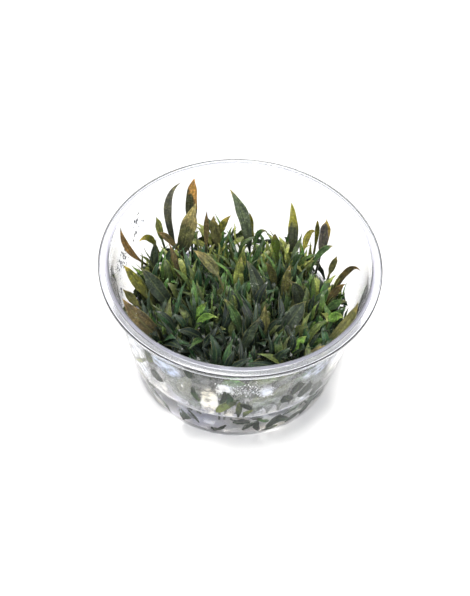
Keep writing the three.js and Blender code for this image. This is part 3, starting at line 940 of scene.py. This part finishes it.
def crowd(place, numbers, kind, angle_at, taken, shown):
    """Little leaves round a crown, where there is room, closer together than the solids allow."""
    count, lean, length, width = kind
    kept = []
    for _ in range(FILL_TRIES):
        if len(kept) >= count:
            break
        turn, spread, spot = next(numbers), next(numbers), next(numbers) * TAU
        out = FILL_SPREAD * math.sqrt(spread)
        start = (place[0] + out * math.cos(spot), place[1] + out * math.sin(spot))
        spec = leaning_leaf(start, angle_at(start, turn), 0, 0, between(lean, next(numbers)),
                            between(length, next(numbers)), between(width, next(numbers)),
                            between(FILL_RISE, next(numbers)))
        reach = between(CANOPY_SPREAD, next(numbers) ** 2)
        droop = between(FILL_DROOP, next(numbers))
        if next(numbers) > FILL_BACK_SHARE and start[1] > FILL_BACK:
            continue
        points = probes(spec)
        fits = inside_wall(points) and (points[:, 2] < canopy(points) + reach).all()
        if fits and apart(points, taken, FILL_CLEARANCE) and not hides(midline(points), shown):
            kept.append({**spec, **LIVELY, "droop": droop})
    return kept


def fanned(start, turn):
    """The way that an upright leaf leans: away from the point in front of the cup, more or less."""
    heading = math.atan2(start[1] - FAN_POINT[1], start[0] - FAN_POINT[0])
    return heading + FAN_SPREAD * (2 * turn - 1)


def fill_leaves(place, number, taken, shown):
    numbers = sequence(FILL_SEED + number)
    upright = crowd(place, numbers, UPRIGHT_LEAVES, fanned, taken, shown)
    low = crowd(place, numbers, LOW_LEAVES, lambda start, turn: turn * TAU, taken, shown)
    stems = crowd(place, numbers, STEM_LEAVES, fanned, taken, shown)
    # Painted shade on the low leaves, which lie under the others
    for spec in low:
        spec["shade"] = LOW_PAINTED_SHADE
    return upright + low + stems


def painted_place_light(x, y):
    """Painted light and shade on a small leaf for where it grows: darker at the front, lighter at the
    back and the sides.
    """
    return TONE_LEAST + sum(amount * smooth(low, high, x * way[0] + y * way[1])
                            for amount, way, low, high in PAINTED_LIGHT_RISES)


def on_wall(angle, level, inset):
    radius, turn = inside_radius(level) - inset, math.radians(angle)
    return np.array((radius * math.cos(turn), radius * math.sin(turn), level))


def flat_on_wall(row, inset, bulge=0.0):
    """A leaf that lies flat along the wall."""
    from_angle, from_level, to_angle, to_level, width, tone = row
    middle = ((from_angle + to_angle) / 2, (from_level + to_level) / 2 + bulge)
    return {"foot": on_wall(from_angle, from_level, inset), "bend": on_wall(*middle, inset),
            "tip": on_wall(to_angle, to_level, inset), "width": width, "tone": tone,
            "face": math.radians(middle[0]) + math.pi, "stalk": PRESSED_STALK, **FLAT}


def loose_rows(seed, count, levels, rise, turn, width, top):
    """Leaves or scraps at places of their own all the way round."""
    numbers = sequence(seed)
    rows = []
    for i in range(count):
        angle = (i + next(numbers)) * 360 / count
        level = between(levels, next(numbers))
        way = 1 if next(numbers) > 0.5 else -1
        end = min(level + between(rise, next(numbers)), top)
        rows.append((angle, level, angle + way * between(turn, next(numbers)), end,
                     between(width, next(numbers)), next(numbers) * LOOSE_TONE))
    return rows


def ring(count, radius, turn):
    angles = [turn + i * TAU / count for i in range(count)]
    return [(radius * math.cos(a), radius * math.sin(a)) for a in angles]


def plain_form(points, upper, tone):
    """A closed form of rings of points that isn't a leaf."""
    rings, around = points.shape[:2]
    count = rings * around
    return {"points": points.reshape(-1, 3), "faces": (rings, around), "along": np.zeros(count),
            "across": np.zeros(count), "upper": np.full(count, upper), "tone": np.full(count, tone)}


def crown_form(place):
    """The low knot of stalk bases that a plantlet's leaves grow from."""
    levels = np.linspace(-1, 1, CROWN_RINGS)
    turn = np.arange(CROWN_STEPS) * TAU / CROWN_STEPS
    radius = CROWN_RADIUS * np.sqrt(np.maximum(1 - levels ** 2, CROWN_END))
    lobes = 1 + CROWN_LOBE_DEPTH * np.cos(CROWN_LOBES * turn)
    x = place[0] + radius[:, None] * np.cos(turn) * lobes
    y = place[1] + radius[:, None] * np.sin(turn) * lobes
    z = GROWTH_LEVEL + CROWN_HEIGHT / 2 * (1 + levels)[:, None] + 0 * x
    return plain_form(np.stack((x, y, z), -1), 1.0, CROWN_TONE)


def bead(centre, radius, stretch):
    """A low rounded drop on the inside of the wall, longer down the wall than across it."""
    turn = np.arange(DROP_STEPS) * TAU / DROP_STEPS
    out = unit(np.array((-centre[0], -centre[1], 0.0)))
    side = unit(np.cross((0, 0, 1), out))
    down = np.cross(out, side)
    wide = radius * np.sqrt(np.maximum(1 - DROP_LEVELS ** 2, DROP_END))[:, None]
    points = (centre + (wide * np.cos(turn))[..., None] * side
              + (wide * stretch * np.sin(turn))[..., None] * down
              + (radius * DROP_HEIGHT * DROP_LEVELS)[:, None, None] * out)
    return plain_form(points, 0.0, 0.0)


def turned_away(angles, middle):
    """How many degrees the angles are from the middle."""
    return np.abs((angles - middle + 180) % 360 - 180)


def touched(angles, levels, spec):
    """1 where a leaf lies against the wall, 0 beside it."""
    along = np.linspace(0, 1, WIPED_STEPS)
    middle, _, _ = course(spec, along)
    half = half_width(along, spec, FINE_WIDTHS, spec["round"])
    spots = np.degrees(np.arctan2(middle[:, 1], middle[:, 0]))
    to_side = np.radians((angles[:, None] - spots + 180) % 360 - 180) * BASE_RADIUS
    gap = (np.hypot(to_side, levels[:, None] - middle[:, 2]) - half).min(1)
    return smooth(WIPED_EDGE, 0.0, gap)


def wall_mist(points, touching):
    """How thick the mist is at points on the wall, its thick patches partly painted light, and how warm
    its painted tint of coloured light looks.
    """
    angles, levels = np.degrees(np.arctan2(points[:, 1], points[:, 0])), points[:, 2]
    mist = between((MIST_BACK, MIST_FRONT), smooth(*MIST_TURN, turned_away(angles, FRONT)))
    light_tint = np.zeros(len(points))
    for angle, level, wide, high, amount, warmth in MIST_PATCHES:
        gap = np.hypot(turned_away(angles, angle) / wide, (levels - level) / high)
        share = smooth(*PATCH_EDGE, gap)
        mist = np.maximum(mist, amount * share)
        light_tint += warmth * share
    for spec in touching:
        mist = mist * (1 - WIPED * touched(angles, levels, spec))
    return mist * smooth(MIST_FADE[1], MIST_FADE[0], levels), light_tint


# Materials

def set_stops(ramp, stops):
    entries = ramp.color_ramp.elements
    while len(entries) < len(stops):
        entries.new(0.5)
    for entry, (position, colour) in zip(entries, stops):
        entry.position, entry.color = position, (*colour, 1)


class Nodes:
    """A short way to write a material's nodes."""

    def __init__(self, name):
        self.material = bpy.data.materials.new(name)
        self.material.use_nodes = True
        self.tree = self.material.node_tree
        self.shader = self.tree.nodes["Principled BSDF"]

    def feed(self, socket, value):
        if isinstance(value, bpy.types.NodeSocket):
            self.tree.links.new(value, socket)
        elif isinstance(value, tuple) and len(value) == 3 and socket.type == "RGBA":
            socket.default_value = (*value, 1)
        else:
            socket.default_value = value

    def node(self, kind, inputs, **settings):
        made = self.tree.nodes.new(kind)
        for key, value in settings.items():
            setattr(made, key, value)
        for key, value in inputs.items():
            self.feed(made.inputs[key], value)
        return made

    def set(self, **values):
        for key, value in values.items():
            self.feed(self.shader.inputs[key.replace("_", " ").title().replace("Ior", "IOR")], value)

    def mark(self, name):
        return self.node("ShaderNodeAttribute", {}, attribute_name=name).outputs["Fac"]

    def place(self):
        return self.node("ShaderNodeTexCoord", {}).outputs["Object"]

    def coordinate(self, axis):
        return self.node("ShaderNodeSeparateXYZ", {0: self.place()}).outputs[axis]

    def noise(self, pattern, vector=None):
        scale, detail = PATTERNS[pattern]
        inputs = {"Vector": vector or self.place(), "Scale": scale, "Detail": detail}
        return self.node("ShaderNodeTexNoise", inputs).outputs["Fac"]

    def blade_place(self):
        """Coordinates that stretch a pattern along the blade."""
        values = (self.mark("across"), self.mark("along"), self.coordinate("X"), self.mark("tone"))
        across, along, place, tone = (self.times(*pair) for pair in zip(values, STREAK_PLACE))
        inputs = {"X": across, "Y": along, "Z": self.plus(place, tone)}
        return self.node("ShaderNodeCombineXYZ", inputs).outputs[0]

    def math(self, operation, *values):
        return self.node("ShaderNodeMath", dict(enumerate(values)), operation=operation).outputs[0]

    def plus(self, first, second):
        return self.math("ADD", first, second)

    def times(self, first, second):
        return self.math("MULTIPLY", first, second)

    def step(self, value, low, high, to_low=0.0, to_high=1.0):
        inputs = {"Value": value, "From Min": low, "From Max": high, "To Min": to_low, "To Max": to_high}
        return self.node("ShaderNodeMapRange", inputs, interpolation_type="SMOOTHSTEP").outputs["Result"]

    def change(self, value, kind):
        return self.step(value, *CHANGES[kind])

    def mix(self, share, first, second, blend="MIX"):
        inputs = {"Factor": share, 6: first, 7: second}
        return self.node("ShaderNodeMix", inputs, data_type="RGBA", blend_type=blend).outputs[2]

    def ramp(self, value, stops):
        made = self.node("ShaderNodeValToRGB", {"Fac": value})
        set_stops(made, stops)
        return made.outputs["Color"]

    def bump(self, height, distance, strength):
        inputs = {"Height": height, "Distance": distance, "Strength": strength}
        self.set(normal=self.node("ShaderNodeBump", inputs).outputs["Normal"])


def leaf_surface(nodes, colour, glint_share=0.0, gloss=GLOSS):
    """What lies over a leaf's own colour: a pale midrib, fine veins, mottling and a wet, waxy gloss, with
    painted shade low down, painted highlights along the margins and painted glints in specks.
    """
    along, across = nodes.mark("along"), nodes.mark("across")
    wide = nodes.math("ABSOLUTE", across)
    mottles = nodes.noise("mottles")
    flecks = nodes.noise("flecks")
    streaks = nodes.noise("streaks", nodes.blade_place())
    colour = nodes.mix(nodes.change(mottles, "mottles"), colour, MOTTLES, "MULTIPLY")
    colour = nodes.mix(nodes.change(streaks, "streaks"), colour, STREAKS, "MULTIPLY")
    colour = nodes.mix(nodes.change(flecks, "flecks"), colour, FLECKS, "MULTIPLY")
    colour = nodes.mix(nodes.change(wide, "midrib"), colour, MIDRIB)
    slant = nodes.math("SUBTRACT", nodes.times(along, VEIN_PLACE[0]), nodes.times(wide, VEIN_PLACE[1]))
    veins = nodes.change(nodes.math("SINE", slant), "veins")
    colour = nodes.mix(nodes.times(veins, VEIN_SHARE), colour, VEINS)
    # Painted highlight: pale, broken edges along each margin, for light caught at the leaf's rim
    margin = nodes.times(nodes.change(wide, "margin"), nodes.change(streaks, "margin_highlight_streaks"))
    colour = nodes.mix(margin, colour, MARGIN_HIGHLIGHT)
    # Painted shade: each leaf darkens towards its foot, for the shade deep in the clump
    colour = nodes.mix(nodes.change(along, "stalk"), colour, PAINTED_STALK_SHADE)
    # Painted highlights: white glints in specks on the upper face, towards the tip
    if glint_share:
        painted_glints = nodes.change(nodes.noise("painted_glints"), "painted_glints")
        zones = nodes.change(nodes.noise("glint_zones"), "glint_zones")
        painted_glints = nodes.times(nodes.times(painted_glints, zones), nodes.mark("upper"))
        painted_glints = nodes.times(painted_glints, nodes.step(along, *GLINTS_FROM, 0.0, glint_share))
        colour = nodes.mix(painted_glints, colour, GLINT_COLOUR)
    nodes.set(base_color=colour, roughness=nodes.change(mottles, "leaf_roughness"))
    nodes.set(specular_ior_level=gloss, ior=LEAF_IOR)
    relief = nodes.plus(nodes.times(veins, LEAF_RELIEF[0]), nodes.times(flecks, LEAF_RELIEF[1]))
    nodes.bump(relief, *LEAF_BUMP)


def leaf_material(name, look, glint_share):
    """A leaf whose tip has a colour of its own, which may run down its margins or down one side."""
    blade, tip, start, margin, skew = (*look, 0.0, 0.0)[:5]
    nodes = Nodes(name)
    across = nodes.mark("across")
    ragged = nodes.times(nodes.math("SUBTRACT", nodes.noise("ragged_tip"), 0.5), RAGGED)
    grade = nodes.plus(nodes.mark("along"), ragged)
    grade = nodes.plus(grade, nodes.times(nodes.times(across, across), margin))
    grade = nodes.plus(grade, nodes.times(across, skew))
    under = tuple(min(c * UNDERSIDE[0] + UNDERSIDE[1], 1) for c in blade)
    colour = nodes.mix(nodes.mark("upper"), under, blade)
    colour = nodes.mix(nodes.step(grade, start - TIP_EDGE, start + TIP_EDGE), colour, tip)
    leaf_surface(nodes, colour, glint_share)
    return nodes.material


def young_material(name="young_leaf", gloss=GLOSS):
    nodes = Nodes(name)
    tone = nodes.plus(nodes.mark("tone"), nodes.times(nodes.mark("along"), ALONG_TONE))
    leaf_surface(nodes, nodes.ramp(tone, YOUNG_TINTS), gloss=gloss)
    return nodes.material


def clear_material(name, look, pattern="plastic", shade=PLASTIC_SHADE):
    """Plastic or water with a tint that varies a little."""
    tint, roughness, transmission, ior = look
    nodes = Nodes(name)
    nodes.set(base_color=nodes.mix(nodes.noise(pattern), tint, tuple(c * shade for c in tint)))
    nodes.set(roughness=roughness, ior=ior, transmission_weight=transmission)
    return nodes.material


def mist_material():
    """The inside of the wall above the gel: plastic under fine condensation, thicker in patches that
    partly paint bright light, with a painted tint of coloured light.
    """
    nodes = Nodes("misted_plastic")
    mist = nodes.times(nodes.mark("mist"), nodes.change(nodes.noise("mist"), "mist"))
    mist = nodes.math("MINIMUM", mist, 1.0)
    light_tint = nodes.plus(nodes.times(nodes.mark("light_tint"), WARMTH), nodes.noise("warmth"))
    nodes.set(base_color=nodes.ramp(light_tint, MIST_LIGHT_TINTS), ior=WALL_IOR)
    nodes.set(transmission_weight=nodes.change(mist, "mist_transmission"))
    nodes.set(roughness=nodes.change(mist, "mist_roughness"))
    return nodes.material


def gel_material(name, ior):
    """Gel with cloudy swirls, warmer low down, and darker at the right with painted shade."""
    nodes = Nodes(name)
    shade = nodes.ramp(nodes.noise("gel_swirls"), GEL_TINTS)
    shade = nodes.mix(nodes.change(nodes.coordinate("X"), "gel_right_shade"), shade, GEL_RIGHT_SHADE, "MULTIPLY")
    shade = nodes.mix(nodes.change(nodes.coordinate("Z"), "gel_low"), shade, GEL_LOW)
    nodes.set(base_color=shade, roughness=SMOOTH, ior=ior)
    nodes.set(transmission_weight=nodes.change(nodes.noise("gel_haze"), "gel_transmission"))
    nodes.bump(nodes.noise("gel_dents"), *GEL_BUMP)
    return nodes.material


def settled_material():
    """The underside of the gel, clouded where it set against the cup's floor."""
    nodes = Nodes("clouded_gel")
    nodes.set(base_color=nodes.ramp(nodes.noise("gel_clouds"), CLOUD_TINTS))
    nodes.set(roughness=CLOUD_ROUGHNESS, ior=GEL_IOR, transmission_weight=CLOUD_TRANSMISSION)
    return nodes.material


# Camera, light and floor

def make_camera():
    data = bpy.data.cameras.new("camera")
    data.sensor_width = SENSOR
    data.lens = FOCAL_PIXELS * SENSOR / IMAGE_HEIGHT
    data.clip_start = NEAREST
    camera = placed("camera", data)
    camera.matrix_world = Matrix.Translation(Vector(CAMERA_PLACE) * MM) @ camera_turn()
    bpy.context.scene.camera = camera


def make_lamp(name, place, size, power, colour):
    data = bpy.data.lights.new(name, "AREA")
    data.shape = "DISK"
    data.size = size
    data.energy = power
    data.color = colour
    lamp = placed(name, data)
    lamp.location = place
    lamp.rotation_euler = (-Vector(place)).to_track_quat("-Z", "Y").to_euler()


def make_world():
    world = bpy.data.worlds.new("studio")
    world.use_nodes = True
    tree = world.node_tree
    place = tree.nodes.new("ShaderNodeTexCoord")
    split = tree.nodes.new("ShaderNodeSeparateXYZ")
    ramp = tree.nodes.new("ShaderNodeValToRGB")
    tree.links.new(place.outputs["Generated"], split.inputs["Vector"])
    tree.links.new(split.outputs["Z"], ramp.inputs["Fac"])
    tree.links.new(ramp.outputs["Color"], tree.nodes["Background"].inputs["Color"])
    set_stops(ramp, SKY)
    tree.nodes["Background"].inputs["Strength"].default_value = SKY_STRENGTH
    bpy.context.scene.world = world


def make_floor():
    half = FLOOR_HALF
    corners = [(-half, -half, 0), (half, -half, 0), (half, half, 0), (-half, half, 0)]
    floor = mesh_object("floor", corners, [(0, 1, 2, 3)])
    nodes = Nodes("pale_floor")
    nodes.set(base_color=nodes.mix(nodes.noise("floor"), *FLOOR_TINTS), roughness=FLOOR_ROUGHNESS)
    wear(floor, nodes.material)


# Pieces

def keep(piece, replaced=None, lets_light_through=False):
    piece.visible_shadow = not lets_light_through
    if replaced:
        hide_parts(replaced)
    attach(piece, "root")


def cup_profile():
    """The cup's outline from its underside, up the outside, over the rim and down the inside."""
    foot_inner = FOOT_RADIUS - FOOT_WIDTH
    under = CUP_HEIGHT - FLANGE_THICK
    bead_inner = FLANGE_RADIUS - BEAD_WIDTH
    inside_collar = COLLAR_RADIUS - WALL
    inside_foot = inside_radius(FLOOR_TOP + BASE_ROUND)
    levels = [*np.arange(MIST_TOP, GEL_LINE + GEL_LINE_HALF, -MIST_ROW), GEL_LINE + GEL_LINE_HALF,
              GEL_LINE, GEL_LINE - GEL_LINE_HALF, FLOOR_TOP + BASE_ROUND + 1]
    return [
        (0, FOOT_RECESS),
        (foot_inner - FOOT_SLOPE, FOOT_RECESS),
        (foot_inner - FOOT_EDGE[0], FOOT_EDGE[1]),
        (foot_inner, 0),
        *arc((FOOT_RADIUS, BASE_ROUND), BASE_ROUND, -90, 0, 6),
        (COLLAR_RADIUS, COLLAR_LEVEL),
        *arc((COLLAR_RADIUS + COLLAR_FLARE, under - COLLAR_FLARE), COLLAR_FLARE, 180, 90, 4),
        (bead_inner, under),
        (bead_inner, BEAD_LOW),
        (FLANGE_RADIUS - BEAD_ROUND, BEAD_LOW),
        (FLANGE_RADIUS, BEAD_LOW + BEAD_ROUND),
        *arc((FLANGE_RADIUS - EDGE_ROUND, CUP_HEIGHT - EDGE_ROUND), EDGE_ROUND, 0, 180, 6),
        (FLANGE_RADIUS - EDGE_WIDTH, FLANGE_TOP),
        (RING_RADIUS + RING_EDGE[0], FLANGE_TOP),
        (RING_RADIUS, CUP_HEIGHT - RING_EDGE[1]),
        *arc((inside_collar + LIP_ROUND, CUP_HEIGHT - LIP_ROUND), LIP_ROUND, 90, 180, 5),
        (inside_collar, COLLAR_LEVEL),
        *((inside_radius(level), level) for level in levels),
        *arc((inside_foot - BASE_ROUND, FLOOR_TOP + BASE_ROUND), BASE_ROUND, 0, -90, 6),
        (0, FLOOR_TOP),
    ]


def cup_plastic(face):
    """Which plastic a face of the cup is made of, from where it lies."""
    x, y, z = face.center / MM
    radius = math.hypot(x, y)
    upward = face.normal.z > UPWARD
    if radius < inside_radius(z) + NEAR and FLOOR_TOP - NEAR < z < COLLAR_LEVEL:
        # A painted highlight above the gel's edge and a painted dark line below it
        if abs(z - GEL_LINE) < GEL_LINE_HALF:
            return "gel_line_painted_highlight" if z > GEL_LINE else "gel_line_painted_shade"
        return "misted_plastic" if z > GEL_TOP + MENISCUS_RISE else "wetted_plastic"
    if RING_START < radius < RING_RADIUS and upward:
        return "frosted_ring"
    # Painted dark lines at the rim's edges, for the dark that their rounding refracts
    top_edge = radius > FLANGE_RADIUS - EDGE_BAND[0] and z > CUP_HEIGHT - EDGE_BAND[1]
    low_edge = radius > FLANGE_RADIUS - NEAR and COLLAR_LEVEL < z < BEAD_LOW + BEAD_ROUND
    if top_edge or low_edge:
        return "painted_dark_rim_edge"
    if z > FLANGE_TOP - NEAR and upward:
        return "milky_rim"
    return "wall_plastic" if z < COLLAR_LEVEL else "clear_plastic"


def make_cup():
    cup = turned("cup_shell", cup_profile())
    mesh = cup.data
    points = np.array([v.co for v in mesh.vertices]) / MM
    mist, light_tint = wall_mist(points, [flat_on_wall(row, WET_INSET) for row in PRESSED])
    add_mark(mesh, "mist", mist)
    add_mark(mesh, "light_tint", light_tint)
    plastics = {name: clear_material(name, look) for name, look in CUP_PLASTICS.items()}
    plastics["misted_plastic"] = mist_material()
    wear(cup, *plastics.values())
    names = list(plastics)
    for face in mesh.polygons:
        face.material_index = names.index(cup_plastic(face))
    keep(cup, "cup", lets_light_through=True)


def make_gel():
    low = FLOOR_TOP - WETTING
    edge = inside_radius(GEL_TOP) + WETTING
    base = inside_radius(FLOOR_TOP + BASE_ROUND) + WETTING
    profile = [(0, low)]
    profile += arc((base - BASE_ROUND, low + BASE_ROUND), BASE_ROUND, -90, 0, 5)
    profile += [(inside_radius(GEL_MIDDLE) + WETTING, GEL_MIDDLE)]
    profile += [(edge + WETTING, GEL_TOP + MENISCUS_RISE)]
    for share in np.linspace(0, 1, MENISCUS_STEPS + 1)[1:]:
        rise = MENISCUS_RISE * (1 - share) ** 2
        profile.append((edge - MENISCUS_WIDTH * share, GEL_TOP + rise))
    profile += [(edge * k, GEL_TOP) for k in (*GEL_RINGS, 0)]
    gel = turned("gel_body", profile)
    wear(gel, gel_material("culture_gel", GEL_IOR), settled_material(),
         gel_material("gel_against_wall", WETTED_IOR))
    for face in gel.data.polygons:
        x, y, z = face.center / MM
        line = z > GEL_TOP + NEAR and math.hypot(x, y) > edge - MENISCUS_SEEN * MENISCUS_WIDTH
        clouded = line or face.normal.z < GEL_SIDE[0]
        face.material_index = 1 if clouded else 0 if face.normal.z > GEL_SIDE[1] else 2
    keep(gel, "gel", lets_light_through=True)


def make_large_leaves(large):
    numbers = sequence(LARGE_SEED)
    materials = {}
    for spec in large:
        name, tint = spec["name"], spec["tint"]
        key = name if name in SPECIAL or name in GLINT_SHARES else tint
        if key not in materials:
            look = SPECIAL.get(name) or TINTS[tint]
            materials[key] = leaf_material(key + "_leaf", look, GLINT_SHARES.get(name, FEW_GLINTS))
        blade = blade_mesh(spec, LARGE_ROWS, LARGE_COLUMNS, numbers)
        keep(joined("blade_" + name, [blade], materials[key]), "leaf_" + name)


def make_plantlets(large):
    material = young_material()
    crowns = [(0, 0)]
    crowns += ring(INNER_CROWNS, INNER_CROWN_RADIUS, INNER_TURN)
    crowns += ring(OUTER_CROWNS, OUTER_CROWN_RADIUS, OUTER_TURN)
    taken = np.concatenate([probes(spec) for spec in large])
    shown = seen(np.concatenate([blade_probes(spec) for spec in large]))
    grown = []
    for i, place in enumerate(crowns):
        leaves = small_leaves(place, i + 1, taken)
        taken = np.concatenate([taken, *[probes(spec) for spec in leaves]])
        grown.append(leaves)
    for i, (place, leaves) in enumerate(zip(crowns, grown)):
        numbers = sequence(FILL_SEED * 2 + i)
        parts = [crown_form(place)]
        fill = fill_leaves(place, i + 1, taken, shown)
        for spec in leaves:
            spec["width"] *= YOUNG_SLIMNESS
            spec.update(fold=YOUNG_FOLD, droop=YOUNG_DROOP, twist=YOUNG_TWIST)
        for spec in leaves + fill:
            x, y = spec["foot"][:2]
            spec["width"] *= between(FRONT_BREADTH, smooth(*BREADTH_FADE, y))
            tone = TONE_SHARE * next(numbers) * spec.get("shade", 1.0) + painted_place_light(x, y)
            spec["tone"] = min(max(tone, 0), 1)
            parts.append(blade_mesh(spec, SMALL_ROWS, SMALL_COLUMNS, numbers))
        keep(joined("young_%02d" % (i + 1), parts, material), "plantlet_%02d" % (i + 1))


def kept_on_wall(row):
    """False where the wall has no loose leaves: at the front left, and high up at the back."""
    angle, level = row[0], row[3]
    at_left = PRESSED_GAP[0] < angle < PRESSED_GAP[1]
    at_back = PRESSED_BACK[0] < angle < PRESSED_BACK[1] and level > PRESSED_BACK_TOP
    return not (at_left or at_back)


def make_wall_leaves():
    """Leaves flat against the inside of the wall or just behind it, seen through it."""
    numbers = sequence(PRESSED_SEED)
    rows = [row for row in loose_rows(PRESSED_SEED + 1, *LOOSE_LEAVES) if kept_on_wall(row)]
    wet = [flat_on_wall(row, WET_INSET) for row in PRESSED]
    specs = [flat_on_wall(row, BEHIND_INSET) for row in BEHIND]
    specs += [flat_on_wall(row, between(PRESSED_INSET, next(numbers)), PRESSED_BULGE) for row in rows]
    for spec in specs:
        spec.update(relief=1.0, twist=PRESSED_TWIST, round=SWELL_ROUND)
    blades = [blade_mesh(spec, SMALL_ROWS, SMALL_COLUMNS, numbers) for spec in wet + specs]
    piece = joined("leaves_on_wall", blades, young_material("pressed_leaf"),
                   young_material("wet_leaf", 0.0))
    wet_faces = len(wet) * (SMALL_ROWS * SMALL_COLUMNS * 2 + 2)
    for face in piece.data.polygons[:wet_faces]:
        face.material_index = 1
    keep(piece)


def make_scraps():
    """Bits of leaf that lie in the gel."""
    numbers = sequence(SCRAP_SEED)
    rows = [(a, max(b, SCRAP_LOWEST), c, max(d, SCRAP_LOWEST), e, f)
            for a, b, c, d, e, f in loose_rows(SCRAP_SEED + 1, *LOOSE_SCRAPS)]
    specs = [flat_on_wall(row, WET_INSET) for row in SCRAP_ROWS]
    specs += [flat_on_wall(row, between(SCRAP_INSET, next(numbers))) for row in rows]
    blades = [blade_mesh(spec, SMALL_ROWS, SMALL_COLUMNS, numbers) for spec in specs]
    keep(joined("gel_scraps", blades, young_material("scrap_leaf", 0.0)))


def make_drops(name, look, seed, spots, sizes):
    numbers = sequence(seed)
    beads = []
    for angles, levels, count in spots:
        for _ in range(count):
            angle = between(angles, (next(numbers) + next(numbers)) / 2)
            level = between(levels, (next(numbers) + next(numbers)) / 2)
            size = between(sizes, next(numbers) ** 2)
            stretch = between(DROP_STRETCH, next(numbers))
            beads.append(bead(on_wall(angle, level, DROP_INSET), size, stretch))
    keep(joined(name, beads, clear_material(look, DROPS[look], "drop", DROP_SHADE)))


bpy.context.scene.view_settings.view_transform = "Standard"
make_camera()
make_world()
for lamp_row in LAMPS:
    make_lamp(*lamp_row)
make_floor()
large_leaves = [large_leaf(row) for row in LEAVES]
make_cup()
make_gel()
make_large_leaves(large_leaves)
make_plantlets(large_leaves)
make_wall_leaves()
make_scraps()
make_drops("wall_drops", "water_drop", DROP_SEED, DROP_SPOTS, DROP_SIZE)
# White drops whose colour paints the mist's sparkle
make_drops("wall_mist", "sparkle_drop", SPARKLE_SEED, SPARKLE_SPOTS, SPARKLE_SIZE)
